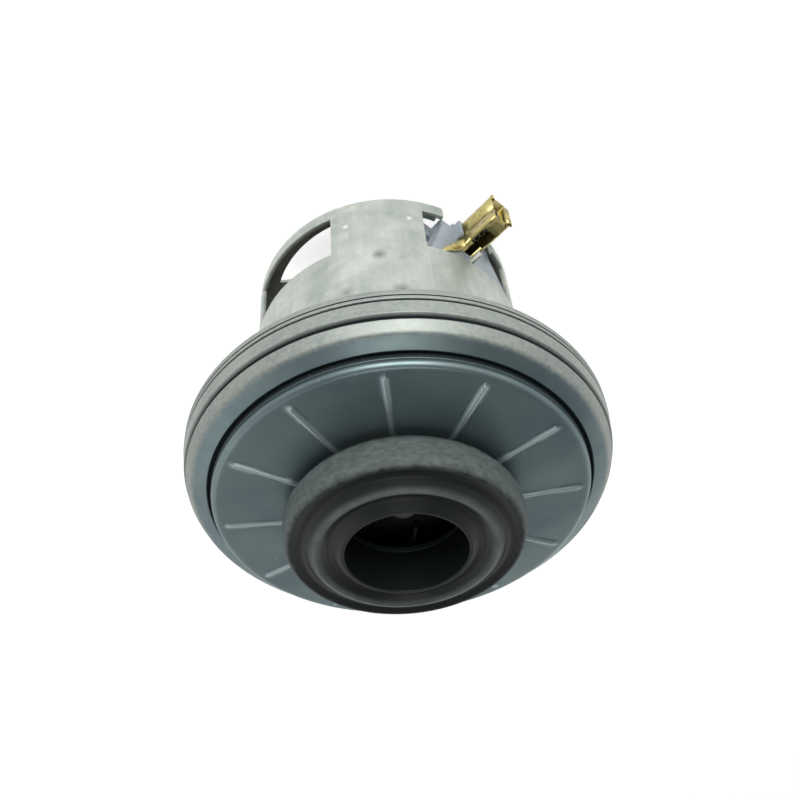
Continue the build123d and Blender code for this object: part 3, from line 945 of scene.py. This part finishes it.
@dataclass
class FanCover:
    """Pressed cover with its hem, crimp bands, step groove, ribbed cone and neck."""

    radius: float = COVER_RIM
    sheet: float = 1.2
    hem_low: float = COVER_HEM
    hem_inner: float = 62.1
    hem_sheet: float = 0.8
    wall_height: float = 16.4
    # Rows of inset from the rim, rise over the hem and bend: the hem, its crimps and the bands
    wall_rows: Rows = (
        (0.0, 0.0, 0.55),
        (0.0, 2.2, 0.3),
        (0.45, 2.5, 0.2),
        (0.0, 2.8, 0.3),
        (0.0, 3.8, 0.3),
        (0.8, 4.05, 0.15),
        (0.8, 4.35, 0.15),
        (0.1, 4.7, 0.3),
        (0.6, 8.3, 0.3),
        (0.5, 8.6, 0.15),
        (0.6, 9.1, 0.2),
        (1.6, 9.5, 0.3),
        (1.7, 10.5, 0.3),
        (1.2, 11.1, 0.3),
        (3.1, 14.3, 2.2),
    )
    # Rows of distance out from the step, height over the shoulder and bend: the step's groove
    step_rows: Rows = (
        (1.1, 0.0, 0.4),
        (0.9, -1.2, 0.3),
        (0.1, -1.2, 0.3),
        (0.0, 0.9, 0.1),
        (-0.2, 1.1, 0.1),
        (0.0, 1.3, 0.1),
    )
    step_radius: float = STEP_RADIUS
    step_rise: float = STEP_RISE
    step_lean: float = 0.1
    step_bend: float = 2.0
    cone_slope: float = CONE_SLOPE
    neck_radius: float = 19.9
    neck_top: float = COVER_TOP
    neck_bend: float = 0.8
    rib_count: int = 12
    rib_turn: float = 1.5
    rib_inner: float = 32.0
    rib_outer: float = 52.3
    rib_width: float = 1.1
    rib_height: float = 0.65
    steps_per_rib: int = 26
    crowding: float = 1.9
    cone_cuts: int = 46
    cone_least: float = 30.0

    @property
    def rib_span(self) -> float:
        """Angle from one rib to the next, in degrees."""
        return 360 / self.rib_count

    def cone(self, radius: float) -> float:
        """Height of the cone's outer face at a radius."""
        return self.hem_low + self.step_rise + self.cone_slope * (self.step_radius - radius)

    def off_rib(self, angle: float) -> float:
        """Degrees from the nearest rib to an angle."""
        return (angle - self.rib_turn + self.rib_span / 2) % self.rib_span - self.rib_span / 2

    def wall_points(self) -> Profile:
        """Outer face of the section, from the hem up the tapered wall to the step's corner.

        Returns:
            (radius, height, bend) rows.
        """
        step, face = self.step_radius, self.hem_low + self.wall_height
        wall = [(self.radius - inset, self.hem_low + rise, bend) for inset, rise, bend in self.wall_rows]
        groove = [(step + out, face + rise, bend) for out, rise, bend in self.step_rows]
        corner = (step - self.step_lean, self.cone(step), self.step_bend)
        return [(self.hem_inner, self.hem_low), *wall, *groove, corner]

    def outline_points(self) -> Profile:
        """Corners of the whole section of the sheet, out over its face and back inside.

        Returns:
            (radius, height, bend) rows.
        """
        r, step, neck = self.radius, self.step_radius, self.neck_radius
        z, face = self.hem_low, self.hem_low + self.wall_height
        bore, inner = neck - self.sheet, step - self.sheet
        return self.wall_points() + [
            (neck, self.cone(neck), self.neck_bend),
            (neck, self.neck_top),
            (bore, self.neck_top),
            (bore, self.cone(bore) - self.sheet),
            (inner, self.cone(inner) - self.sheet),
            (inner, face - 2.4),
            (step + 1.9, face - 2.4, 0.5),
            (step + 2.3, face - 1.7),
            (r - 3.8, face - 3.5, 0.8),
            (r - 2.5, z + 10.0),
            (r - 1.3, z + 4.4),
            (r - self.sheet, z + self.hem_sheet),
            (self.hem_inner, z + self.hem_sheet),
        ]

    def crowd(self, shape: Shape) -> None:
        """Move the steps of the turn towards the ribs, where the detail is.

        Args:
            shape: the turned cover.
        """
        half = self.rib_span / 2
        for vert in shape.verts:
            radius, angle = around(vert.co)
            share = self.off_rib(angle) / half
            moved = math.copysign(abs(share) ** self.crowding, share)
            vert.co = polar(radius, angle + (moved - share) * half, vert.co.z)

    def raise_ribs(self, shape: Shape) -> None:
        """Lift the cone's outer face into round-ended ribs.

        Args:
            shape: the turned cover.
        """
        for vert in shape.verts:
            radius, angle = around(vert.co)
            if abs(vert.co.z - self.cone(radius)) > self.sheet / 2:
                continue
            across = radius * math.radians(self.off_rib(angle))
            along = max(self.rib_inner - radius, 0, radius - self.rib_outer)
            reach = math.hypot(across, along) / self.rib_width
            if reach < 1:
                vert.co.z += self.rib_height * (1 - reach**2)

    def build(self) -> None:
        """Turn the section, raise the ribs and dress the cover."""
        shape = outline(self.outline_points())
        level = self.cone(self.step_radius) - self.sheet / 2
        cone_edges = [
            edge
            for edge in shape.edges
            if edge.calc_length() > self.cone_least and min(vert.co.z for vert in edge.verts) > level
        ]
        bmesh.ops.subdivide_edges(shape, edges=cone_edges, cuts=self.cone_cuts)
        spin_round(shape, self.rib_count * self.steps_per_rib)
        turn_about(shape, self.rib_turn)
        self.crowd(shape)
        self.raise_ribs(shape)
        finish_piece("fan_cover_shell", "fan_cover", shape, COVER_STEEL)


@dataclass
class Diffuser:
    """Moulded guide ring under the impeller, its vanes cut back under the cover's shoulder."""

    low: float = low("diffuser").z
    sheet: float = 1.5
    bore: float = 24.0
    radius: float = 62.4
    corner: float = 0.3
    vane_count: int = 15
    vane_start: float = 56.0
    vane_inset: float = 0.9
    vane_sweep: float = 16.0
    vane_sheet: float = 1.2
    vane_height: float = 2.8
    vane_cut: float = 0.7

    def add_vane(self, shape: Shape, start: float) -> None:
        """Add a swept upright vane.

        Args:
            shape: the mesh that it is added to.
            start: angle of its inner end in degrees.
        """
        foot = self.low + self.sheet
        first = polar(self.vane_start, start, foot)
        last = polar(self.radius - self.vane_inset, start + self.vane_sweep, foot)
        vane = bmesh.ops.create_cube(shape, size=1.0)["verts"]
        along = last - first
        bmesh.ops.scale(shape, vec=(along.length, self.vane_sheet, self.vane_height), verts=vane)
        for vert in vane:
            if vert.co.x > 0 and vert.co.z > 0:
                vert.co.z -= self.vane_cut
        turn_about(shape, around(along)[1], vane)
        middle = (first + last) / 2 + Vector((0, 0, self.vane_height / 2))
        bmesh.ops.translate(shape, vec=middle, verts=vane)

    def build(self) -> None:
        """Turn the ring, add its vanes and dress it."""
        top = self.low + self.sheet
        corners = ((self.bore, self.low), (self.radius, self.low), (self.radius, top), (self.bore, top))
        shape = turned([(*corner, self.corner) for corner in corners], segments=2)
        for i in range(self.vane_count):
            self.add_vane(shape, 360 * i / self.vane_count)
        finish_piece("diffuser_ring", "diffuser", shape, DARK_PLASTIC)


@dataclass
class Impeller:
    """Front plate and swept blades of the fan, on the back plate that the nut clamps."""

    blade_foot: float = high("impeller_back_plate").z
    radius: float = 54.4
    rim_level: float = 100.2
    eye_radius: float = 22.3
    eye_level: float = 102.1
    eye_gap: float = 2.5
    collar_radius: float = 21.3
    collar_top: float = 104.3
    sheet: float = 0.9
    blade_count: int = 7
    blade_inner: float = 17.0
    blade_outer: float = 53.5
    blade_sweep: float = 62.0
    blade_ease: float = 0.12
    blade_steps: int = 14

    def underside(self, radius: float) -> float:
        """Level of the front plate's lower face at a radius, level across the eye."""
        share = (self.radius - max(radius, self.eye_radius)) / (self.radius - self.eye_radius)
        return self.rim_level + share * (self.eye_level - self.rim_level)

    def front_plate(self) -> None:
        """Turn the front plate with the collar round its eye."""
        points = [
            (self.radius, self.rim_level, 0.2),
            (self.radius, self.rim_level + self.sheet, 0.2),
            (self.eye_radius, self.eye_level + self.sheet, 0.8),
            (self.collar_radius, self.collar_top, 0.2),
            (self.collar_radius - self.sheet, self.collar_top, 0.2),
            (self.eye_radius - self.sheet, self.eye_level, 0.8),
        ]
        shape = turned(points, segments=3)
        finish_piece("impeller_front_disc", "impeller_front_plate", shape, ALUMINIUM, Body.ROTOR)

    def blade(self, shape: Shape, start: float) -> None:
        """Draw one upright blade outwards along its backward sweep.

        Args:
            shape: the mesh that it is added to.
            start: angle of its inner end in degrees.
        """
        stations = []
        for i in range(self.blade_steps + 1):
            share = i / self.blade_steps
            radius = self.blade_inner + (self.blade_outer - self.blade_inner) * share
            turn = start - self.blade_sweep * share * (1 + self.blade_ease - self.blade_ease * share)
            top = self.underside(radius) if i else self.eye_level - self.eye_gap
            stations.append((*polar(radius, turn, 0).xy, self.blade_foot, top))
        draw_strip(shape, stations)

    def blades(self) -> None:
        """Build the blades and give them the sheet's thickness."""
        shape = bmesh.new()
        for i in range(self.blade_count):
            self.blade(shape, 360 * i / self.blade_count)
        bmesh.ops.recalc_face_normals(shape, faces=shape.faces)
        bmesh.ops.solidify(shape, geom=shape.faces[:], thickness=self.sheet)
        finish_piece("impeller_blade_set", "impeller_blades", shape, ALUMINIUM, Body.ROTOR)

    def build(self) -> None:
        """Build the front plate and the blades."""
        self.front_plate()
        self.blades()


@dataclass
class SealRing:
    """Rubber ring round the inlet: undercut foot, rubbed wall, dished face, lip and mouth."""

    radius: float = SEAL_RADIUS
    foot: float = 105.75
    top: float = high("inlet_seal_ring").z
    bore: float = 17.9
    mouth: float = 18.9
    groove: float = 22.7
    lip: float = SEAL_LIP
    neck: float = 19.9
    neck_top: float = COVER_TOP
    sleeve_wall: float = 0.7
    sleeve_low: float = 107.7
    steps: int = 192

    def build(self) -> None:
        """Turn the ring's section and dress it."""
        r, top, foot = self.radius, self.top, self.foot
        sleeve = self.bore + self.sleeve_wall
        points = [
            (r - 4.6, foot),
            (r - 2.0, foot + 1.65, 1.8),
            (r, foot + 4.85, 2.5),
            (r - 0.2, top - 5.6, 3.0),
            (r - 1.4, top - 2.5, 1.2),
            (r - 5.6, top - 3.8, 2.5),
            (self.lip + 1.3, top - 1.2, 1.3),
            (self.lip, top - 0.5, 0.7),
            (self.lip - 1.2, top - 0.9, 0.6),
            (self.groove, top - 2.5, 0.6),
            (self.mouth + 2.5, top - 1.9, 0.7),
            (self.mouth, top, 0.4),
            (self.bore, top, 0.3),
            (self.bore, self.sleeve_low),
            (sleeve, self.sleeve_low),
            (sleeve, self.neck_top),
            (self.neck, self.neck_top),
            (self.neck, foot + 1.5),
            (self.neck + 0.9, foot + 0.7),
        ]
        shape = turned(points, self.steps)
        finish_piece("inlet_seal_moulding", "inlet_seal_ring", shape, SEAL_RUBBER)


@dataclass
class MotorFrame:
    """Deep-drawn cup with its flange, windows, end bridge and bearing boss."""

    radius: float = 45.0
    sheet: float = 1.5
    end: float = 7.0
    flange_radius: float = high("motor_frame").x
    flange_top: float = high("motor_frame").z
    end_opening: float = 39.1
    bridge_half: float = 14.5
    boss_radius: float = 12.52
    boss_hole: float = 5.5
    window_low: float = 13.6
    window_high: float = 33.5
    window_edges: tuple[float, float] = (20.0, 70.0)
    notch_edges: tuple[float, float] = (30.0, 60.0)
    edge_round: float = 0.2
    edge_angle: float = math.radians(50)

    def outline_points(self) -> Profile:
        """Outer face of the cup's section, from the boss to the flange.

        Returns:
            (radius, height, bend) rows.
        """
        flange_low = self.flange_top - self.sheet
        return [
            (self.boss_hole, 0),
            (self.boss_radius, 0, 1.6),
            (self.boss_radius, self.end, 0.8),
            (self.end_opening, self.end),
            (self.radius, self.end, 2.4),
            (self.radius, self.window_low),
            (self.radius, self.window_high),
            (self.radius, flange_low, 2.2),
            (self.flange_radius, flange_low),
        ]

    def cut_away(self, middle: Vector) -> bool:
        """Whether a face lies in a window, in a brush holder's notch or beside the end bridge.

        Args:
            middle: the face's middle.

        Returns:
            True where the sheet is cut away.
        """
        radius, angle = around(middle)
        window_start, window_end = self.window_edges
        notch_start, notch_end = self.notch_edges
        if self.window_low < middle.z < self.window_high and radius > self.radius - self.sheet:
            return window_start < angle % 90 < window_end
        if middle.z < self.window_low and radius > self.end_opening:
            return notch_start < angle % 180 < notch_end
        on_end = abs(middle.z - self.end) < MERGE_DISTANCE
        return on_end and radius < self.end_opening and abs(middle.y) > self.bridge_half

    def build(self) -> None:
        """Turn the cup's outer face, cut its openings and give it its thickness."""
        shape = turned(self.outline_points(), closed=False)
        for side in (-1, 1):
            bmesh.ops.bisect_plane(
                shape,
                geom=shape.verts[:] + shape.edges[:] + shape.faces[:],
                plane_co=(0, side * self.bridge_half, 0),
                plane_no=(0, 1, 0),
            )
        gone = [face for face in shape.faces if self.cut_away(face.calc_center_median())]
        bmesh.ops.delete(shape, geom=gone, context="FACES")
        bmesh.ops.recalc_face_normals(shape, faces=shape.faces)
        # The cup is open, so the wall above the windows says whether its faces point outwards
        middles = [(face.normal, face.calc_center_median()) for face in shape.faces]
        wall = [pair for pair in middles if abs(pair[0].z) < 0.1 and pair[1].z > self.window_high]
        if sum(normal.dot(middle) for normal, middle in wall) < 0:
            bmesh.ops.reverse_faces(shape, faces=shape.faces)
        piece = finish_piece("motor_frame_cup", "motor_frame", shape, FRAME_STEEL)
        add_wall(piece, self.sheet)
        edges = piece.modifiers.new("edges", "BEVEL")
        edges.width = self.edge_round * MM
        edges.segments = 2
        edges.limit_method = "ANGLE"
        edges.angle_limit = self.edge_angle


@dataclass
class BrushHolder:
    """Brush tube, insulator and terminal in one window, made on the +X side and turned into place."""

    key: str
    angle: float
    level: float = 16.4
    tube_width: float = 7.0
    tube_height: float = 12.0
    tube_sheet: float = 0.5
    tube_bend: float = 0.8
    tube_start: float = 15.5
    tube_end: float = 58.0
    seam_share: float = 0.6
    seam: float = 0.6
    slot: tuple[float, float] = (30.0, 46.0)
    slot_half: float = 1.5
    hole: tuple[float, float] = (46.0, 52.5)
    hole_half: float = 2.6
    tab_heights: tuple[float, float] = (1.8, 8.5)
    tab_curl: float = 0.75
    tab_turn: float = 250.0
    ear_foot: float = 42.3
    ear_bend: float = 1.6
    ear_run: float = 2.5
    ear_root: float = 2.0
    ear_rises: tuple[float, float] = (3.5, 0.4)
    ear_spreads: tuple[float, float] = (1.6, 0.7)
    ear_steps: int = 4
    ear_reach: float = 13.2
    ear_tip: float = 1.5
    ear_top: float = 32.9
    spring_wire: float = 0.6
    spring_diameter: float = 4.8
    spring_start: float = 39.85
    spring_end: float = 56.75
    spring_turns: int = 7
    spring_steps: int = 20
    spring_sides: int = 8
    travel: float = 8.0

    @property
    def bottom(self) -> float:
        """Level of the tube's lower face."""
        return self.level - self.tube_height / 2

    @property
    def top(self) -> float:
        """Level of the tube's upper face."""
        return self.level + self.tube_height / 2

    def tube_section(self) -> Shape:
        """Wire section of the folded tube at its inner end, open at its seam.

        Returns:
            A mesh of points and edges.
        """
        half, bottom, top, bend = self.tube_width / 2, self.bottom, self.top, self.tube_bend
        seam = bottom + self.seam_share * self.tube_height
        rows = [
            (half, seam),
            (half, bottom, bend),
            (-half, bottom, bend),
            (-half, top, bend),
            (-self.hole_half, top),
            (-self.slot_half, top),
            (self.slot_half, top),
            (self.hole_half, top),
            (half, top, bend),
            (half, seam + self.seam),
        ]
        shape = outline(rows, closed=False, segments=4)
        turn_about(shape, 90)
        bmesh.ops.translate(shape, vec=(self.tube_start, 0, 0), verts=shape.verts)
        return shape

    def cut_away(self, middle: Vector) -> bool:
        """Whether a face of the tube lies in its lead slot or in its hook hole.

        Args:
            middle: the face's middle.

        Returns:
            True where the strip is cut away.
        """
        in_slot = self.slot[0] < middle.x < self.slot[1] and abs(middle.y) < self.slot_half
        in_hole = self.hole[0] < middle.x < self.hole[1] and abs(middle.y) < self.hole_half
        return abs(middle.z - self.top) < MERGE_DISTANCE and (in_slot or in_hole)

    def tube(self) -> None:
        """Folded tube with its lead slot, hook hole, end tabs and ear."""
        shape = self.tube_section()
        ring = shape.edges[:]
        stations = [self.tube_start, self.slot[0], *self.hole, self.tube_end]
        for start, end in zip(stations, stations[1:]):
            made = bmesh.ops.extrude_edge_only(shape, edges=ring)["geom"]
            points = [item for item in made if isinstance(item, bmesh.types.BMVert)]
            ring = [item for item in made if isinstance(item, bmesh.types.BMEdge)]
            ring = [edge for edge in ring if all(vert in points for vert in edge.verts)]
            bmesh.ops.translate(shape, vec=(end - start, 0, 0), verts=points)
        gone = [face for face in shape.faces if self.cut_away(face.calc_center_median())]
        bmesh.ops.delete(shape, geom=gone, context="FACES")
        bmesh.ops.recalc_face_normals(shape, faces=shape.faces)
        self.curled_tab(shape, 1, self.bottom, self.bottom + self.tab_heights[0])
        self.curled_tab(shape, -1, self.top - self.tab_heights[1], self.top)
        self.ear(shape)
        turn_about(shape, self.angle)
        node = f"brush_tube_{self.key}"
        add_wall(finish_piece(f"brush_tube_fold_{self.key}", node, shape, BRASS), self.tube_sheet)

    def curled_tab(self, shape: Shape, side: int, start: float, finish: float) -> None:
        """Tab at the tube's end that curls inwards and holds the spring in.

        Args:
            shape: the mesh that it is added to.
            side: +1 for the seam's wall, -1 for the wall across from it.
            start: its lower level.
            finish: its upper level.
        """
        across = side * self.tube_width / 2
        foot = [shape.verts.new((self.tube_end, across, level)) for level in (start, finish)]
        bmesh.ops.spin(
            shape,
            geom=[*foot, shape.edges.new(foot)],
            cent=(self.tube_end, across - side * self.tab_curl, start),
            axis=SHAFT_AXIS,
            angle=-side * math.radians(self.tab_turn),
            steps=8,
        )

    def ear(self, shape: Shape) -> None:
        """Ear that bends out of the seam's wall and spreads along the insulator's face.

        Args:
            shape: the mesh that it is added to.
        """
        wall, corner = self.tube_width / 2, self.ear_foot + self.ear_bend
        stations = [(corner + self.ear_run, wall, self.bottom + self.ear_root, self.top)]
        for i in range(self.ear_steps + 1):
            turn = math.pi / 2 * i / self.ear_steps
            rises = [rise + spread * i for rise, spread in zip(self.ear_rises, self.ear_spreads)]
            x = corner - self.ear_bend * math.sin(turn)
            y = wall + self.ear_bend * (1 - math.cos(turn))
            stations.append((x, y, self.bottom + rises[0], self.top + rises[1]))
        stations.append((self.ear_foot, self.ear_reach, self.ear_top - self.ear_tip, self.ear_top))
        draw_strip(shape, stations)

    def brush_spring(self) -> None:
        """Coil of round wire between the brush and the tube's end."""
        shape = bmesh.new()
        radius = (self.spring_diameter - self.spring_wire) / 2
        run = self.spring_end - self.spring_start
        bmesh.ops.create_circle(
            shape,
            cap_ends=False,
            radius=self.spring_wire / 2,
            segments=self.spring_sides,
            matrix=Matrix.Translation((self.spring_start, radius, self.level)),
        )
        steps = self.spring_turns * self.spring_steps
        bmesh.ops.spin(
            shape,
            geom=shape.verts[:] + shape.edges[:],
            cent=(self.spring_start, 0, self.level),
            axis=(1, 0, 0),
            dvec=(run / steps, 0, 0),
            angle=TURN * self.spring_turns,
            steps=steps,
        )
        bmesh.ops.holes_fill(shape, edges=shape.edges, sides=self.spring_sides)
        closed_surface(shape)
        turn_about(shape, self.angle)
        node, body = f"brush_spring_{self.key}", Body[f"BRUSH_{self.key.upper()}"]
        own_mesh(finish_piece(f"{node}_coil", node, shape, SPRING_STEEL, body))

    def build(self) -> None:
        """Build the holder's pieces."""
        self.tube()
        self.brush_spring()
        rounded_copy(f"brush_insulator_{self.key}", INSULATOR_PLASTIC, 0.4, 3)
        rounded_copy(f"brush_terminal_{self.key}", TIN, 0.15)
        dress(f"carbon_brush_{self.key}", CARBON)


@dataclass
class FieldCoil:
    """Saddle of enamelled wire round one pole of the stator."""

    key: str
    angle: float
    gauge: float = 0.9
    core_low: float = low("stator_core").z
    core_top: float = high("stator_core").z
    slot_inner: float = 26.0
    slot_outer: float = 33.2
    slot_half: float = 26.3
    slot_start: float = 37.0
    slot_end: float = 84.0
    rows: int = 7
    columns: int = 9
    end_inner: float = 26.3
    end_outer: float = 35.6
    end_space: float = 1.2
    end_height: float = 7.6
    end_shares: tuple[float, ...] = (0.85, 0.5, 0.0, -0.5, -0.85)
    shoulder_share: float = 0.7
    scatter: float = 0.25
    seed: int = 5

    def loop(self, radius: float, angle: float, along: float, out: float) -> list[Vector]:
        """Control points of one turn of wire.

        Args:
            radius: its radius in the slot.
            angle: its angle in the slot, in degrees.
            along: its share of the height of the end turns.
            out: its share of the width of the end turns.

        Returns:
            The points, once round the pole.
        """
        end_radius = self.end_inner + out * (self.end_outer - self.end_inner)
        rise = self.end_space + along * (self.end_height - self.end_space)
        middle = (radius + end_radius) / 2
        points = []
        for level, way in ((self.core_top, 1), (self.core_low, -1)):
            foot, shoulder = level - way * self.end_space, level + way * rise * self.shoulder_share
            rows = [(radius, 1, foot), (middle, 1, shoulder)]
            rows += [(end_radius, share, level + way * rise) for share in self.end_shares]
            rows += [(middle, -1, shoulder), (radius, -1, foot)]
            points += [polar(reach, way * angle * share, height) for reach, share, height in rows]
        return points

    def build(self) -> None:
        """Wind the turns that fit the slot and dress the coil."""
        chance = random.Random(self.seed)
        turn = Matrix.Rotation(math.radians(self.angle), 3, "Z")
        paths = []
        for row in range(self.rows):
            out = row / (self.rows - 1)
            radius = self.slot_inner + out * (self.slot_outer - self.slot_inner)
            for column in range(self.columns):
                share = column / (self.columns - 1)
                angle = self.slot_start + share * (self.slot_end - self.slot_start)
                if radius * math.sin(math.radians(angle)) > self.slot_half:
                    continue
                shift = Vector([chance.uniform(-self.scatter, self.scatter) for _ in range(3)])
                loop = self.loop(radius, angle, share, out)
                paths.append([turn @ (point + shift) for point in loop])
        node = f"field_coil_{self.key}"
        wire_bundle(f"{node}_wires", node, paths, self.gauge, Body.HOUSING)


@dataclass
class ArmatureWinding:
    """Coils of enamelled wire through the slots of the armature."""

    gauge: float = 0.8
    core_low: float = low("armature_core").z
    core_top: float = high("armature_core").z
    slot_count: int = 12
    slot_pitch: int = 5
    wires: tuple[tuple[float, float], ...] = (
        (11.9, 0.0),
        (13.0, -0.6),
        (13.0, 0.6),
        (14.3, -1.0),
        (14.3, 0.0),
        (14.3, 1.0),
        (15.6, -1.4),
        (15.6, -0.4),
        (15.6, 0.6),
        (15.6, 1.6),
    )
    end_outer: float = 15.6
    end_inner: float = 8.0
    end_spread: float = 2.5
    end_low: float = 1.6
    end_height: float = 8.0
    end_lean: float = 4.0
    shoulder_share: float = 0.6
    wire_layer_share: float = 0.7
    scatter: float = 0.3
    seed: int = 11

    def loop(self, slot: int, radius: float, across: float, layer: float) -> list[Vector]:
        """Control points of one turn of wire between two slots.

        Args:
            slot: number of its first slot.
            radius: its radius in the slot.
            across: its distance from the slot's middle plane.
            layer: its share of the height of the end turns.

        Returns:
            The points, once round.
        """
        span = 360 / self.slot_count
        first, second = slot * span, (slot + self.slot_pitch) * span
        middle, side = (first + second) / 2, math.degrees(across / radius)
        near, far = first + side, second - side
        inner = self.end_inner + (1 - layer) * self.end_spread
        rise = self.end_low + layer * (self.end_height - self.end_low)
        points = []
        for level, way in ((self.core_top, 1), (self.core_low, -1)):
            over, shoulder = level + way * rise, level + way * rise * self.shoulder_share
            ends = [
                polar(radius, near, level),
                polar(self.end_outer, near + self.end_lean, shoulder),
                polar(inner + self.end_spread, (near + middle) / 2, over),
                polar(inner, middle, over),
                polar(inner + self.end_spread, (far + middle) / 2, over),
                polar(self.end_outer, far - self.end_lean, shoulder),
                polar(radius, far, level),
            ]
            points += ends[::way]
        return points

    def build(self) -> None:
        """Wind every slot and dress the winding."""
        chance = random.Random(self.seed)
        by_wire, by_slot = self.wire_layer_share, 1 - self.wire_layer_share
        paths = []
        for slot in range(self.slot_count):
            for number, (radius, across) in enumerate(self.wires):
                layer = number / len(self.wires) * by_wire + slot / self.slot_count * by_slot
                shift = Vector((0, 0, chance.uniform(-self.scatter, self.scatter)))
                paths.append([point + shift for point in self.loop(slot, radius, across, layer)])
        wire_bundle("armature_winding_wires", "armature_winding", paths, self.gauge, Body.ROTOR)


@dataclass
class InnerWorks:
    """Nodes of the frame that keep their shape and get their finish, and the rounded nut."""

    finishes: tuple[tuple[str, Finish], ...] = (
        ("drive_end_bracket", BRACKET_STEEL),
        ("bearing_outer_rings", BEARING_STEEL),
        ("bearing_inner_rings", BEARING_STEEL),
        ("stator_core", LAMINATIONS),
        ("shaft", SHAFT_STEEL),
        ("armature_core", LAMINATIONS),
        ("commutator", COPPER_BARS),
        ("impeller_back_plate", ALUMINIUM),
    )
    nut_round: float = 0.3

    def build(self) -> None:
        """Dress each node and round the nut."""
        for name, finish in self.finishes:
            dress(name, finish)
        rounded_copy("impeller_nut", NUT_STEEL, self.nut_round, body=Body.ROTOR)


@dataclass(frozen=True)
class SoftLamp:
    """Soft area lamp: its place, aim and side in millimetres, and its power in watts."""

    name: str
    place: tuple
    aim: tuple
    size: float
    watts: float

    def build(self) -> None:
        """Hang the lamp and turn it to its aim."""
        data = bpy.data.lights.new(self.name, "AREA")
        data.energy = self.watts
        data.size = self.size * MM
        lamp = add_object(self.name, data)
        lamp.location = Vector(self.place) * MM
        way = Vector(self.aim) - Vector(self.place)
        lamp.rotation_euler = way.to_track_quat("-Z", "Y").to_euler()


@dataclass
class Studio:
    """Pale floor, soft lamps, white surroundings and the camera."""

    camera_place: tuple = (-2.105, -229.64, 295.54)
    camera_right: tuple = (-0.99551, 0.06791, 0.06597)
    camera_down: tuple = (0.09468, 0.71405, 0.69365)
    camera_ahead: tuple = (0.0, 0.6968, -0.7173)
    focal_share: float = 1.25
    sensor: float = 36.0
    clip_start: float = 10.0
    floor_size: float = 6000.0
    ceiling_start: float = 0.25
    ceiling_full: float = 0.95
    ceiling_colour: str = "6a6e70"
    world_level: float = 0.6
    lamps: tuple[SoftLamp, ...] = (
        SoftLamp("key_lamp", (-60, -800, 300), (0, 0, 60), 450, 3.9),
        SoftLamp("fill_lamp", (500, 200, 700), (0, 0, 60), 600, 0.8),
        SoftLamp("top_lamp", (0, -130, 950), (0, 0, 100), 320, 0.8),
    )

    def floor(self) -> None:
        """Pale floor under the object."""
        shape = bmesh.new()
        bmesh.ops.create_grid(shape, x_segments=8, y_segments=8, size=self.floor_size / 2)
        data = to_mesh("studio_floor", shape)
        data.materials.append(FLOOR_PAPER.material())
        add_object("studio_floor", data)

    def world(self) -> None:
        """White surroundings under a dark ceiling, all white where the camera sees them."""
        world = bpy.data.worlds.new("studio_surroundings")
        bpy.context.scene.world = world
        world.use_nodes = True
        patterns = Patterns(world.node_tree, "Generated")
        camera, seen = patterns.rays()
        height = patterns.add("SeparateXYZ", [patterns.place], "Z")
        levels = [height, self.ceiling_start, self.ceiling_full]
        ceiling = patterns.add("MapRange", levels, interpolation_type="SMOOTHSTEP")
        share = patterns.total(0.0, (ceiling, patterns.total(1.0, (camera, -1.0))))
        sky = patterns.layered("ffffff", (share, self.ceiling_colour))
        soft = patterns.add("Background", [sky, self.world_level])
        white = patterns.add("Background", [sky, 1.0])
        patterns.add("OutputWorld", [patterns.add("MixShader", [seen, soft, white])])

    def camera(self) -> None:
        """Camera at the photograph's place, angle and roll."""
        data = bpy.data.cameras.new("camera")
        data.sensor_width = self.sensor
        data.lens = self.sensor * self.focal_share
        data.clip_start = self.clip_start * MM
        axes = (Vector(self.camera_right), -Vector(self.camera_down), -Vector(self.camera_ahead))
        camera = add_object("camera", data)
        place = Matrix.Translation(Vector(self.camera_place) * MM)
        camera.matrix_world = place @ Matrix(axes).transposed().to_4x4()
        bpy.context.scene.camera = camera

    def build(self) -> None:
        """Set up the whole studio."""
        self.camera()
        self.floor()
        self.world()
        for lamp in self.lamps:
            lamp.build()
        bpy.context.scene.view_settings.view_transform = "Standard"


def main() -> None:
    """Build the object's parts and the studio in order."""
    logging.basicConfig(level=logging.INFO, format="%(message)s")
    parts = [
        FanCover(),
        Diffuser(),
        Impeller(),
        SealRing(),
        MotorFrame(),
        BrushHolder("a", 225.0),
        BrushHolder("b", 45.0),
        FieldCoil("a", 0.0),
        FieldCoil("b", 180.0),
        ArmatureWinding(),
        InnerWorks(),
        Studio(),
    ]
    for part in parts:
        part.build()
        log.info("finished %s", type(part).__name__)


if __name__ == "__main__":
    main()
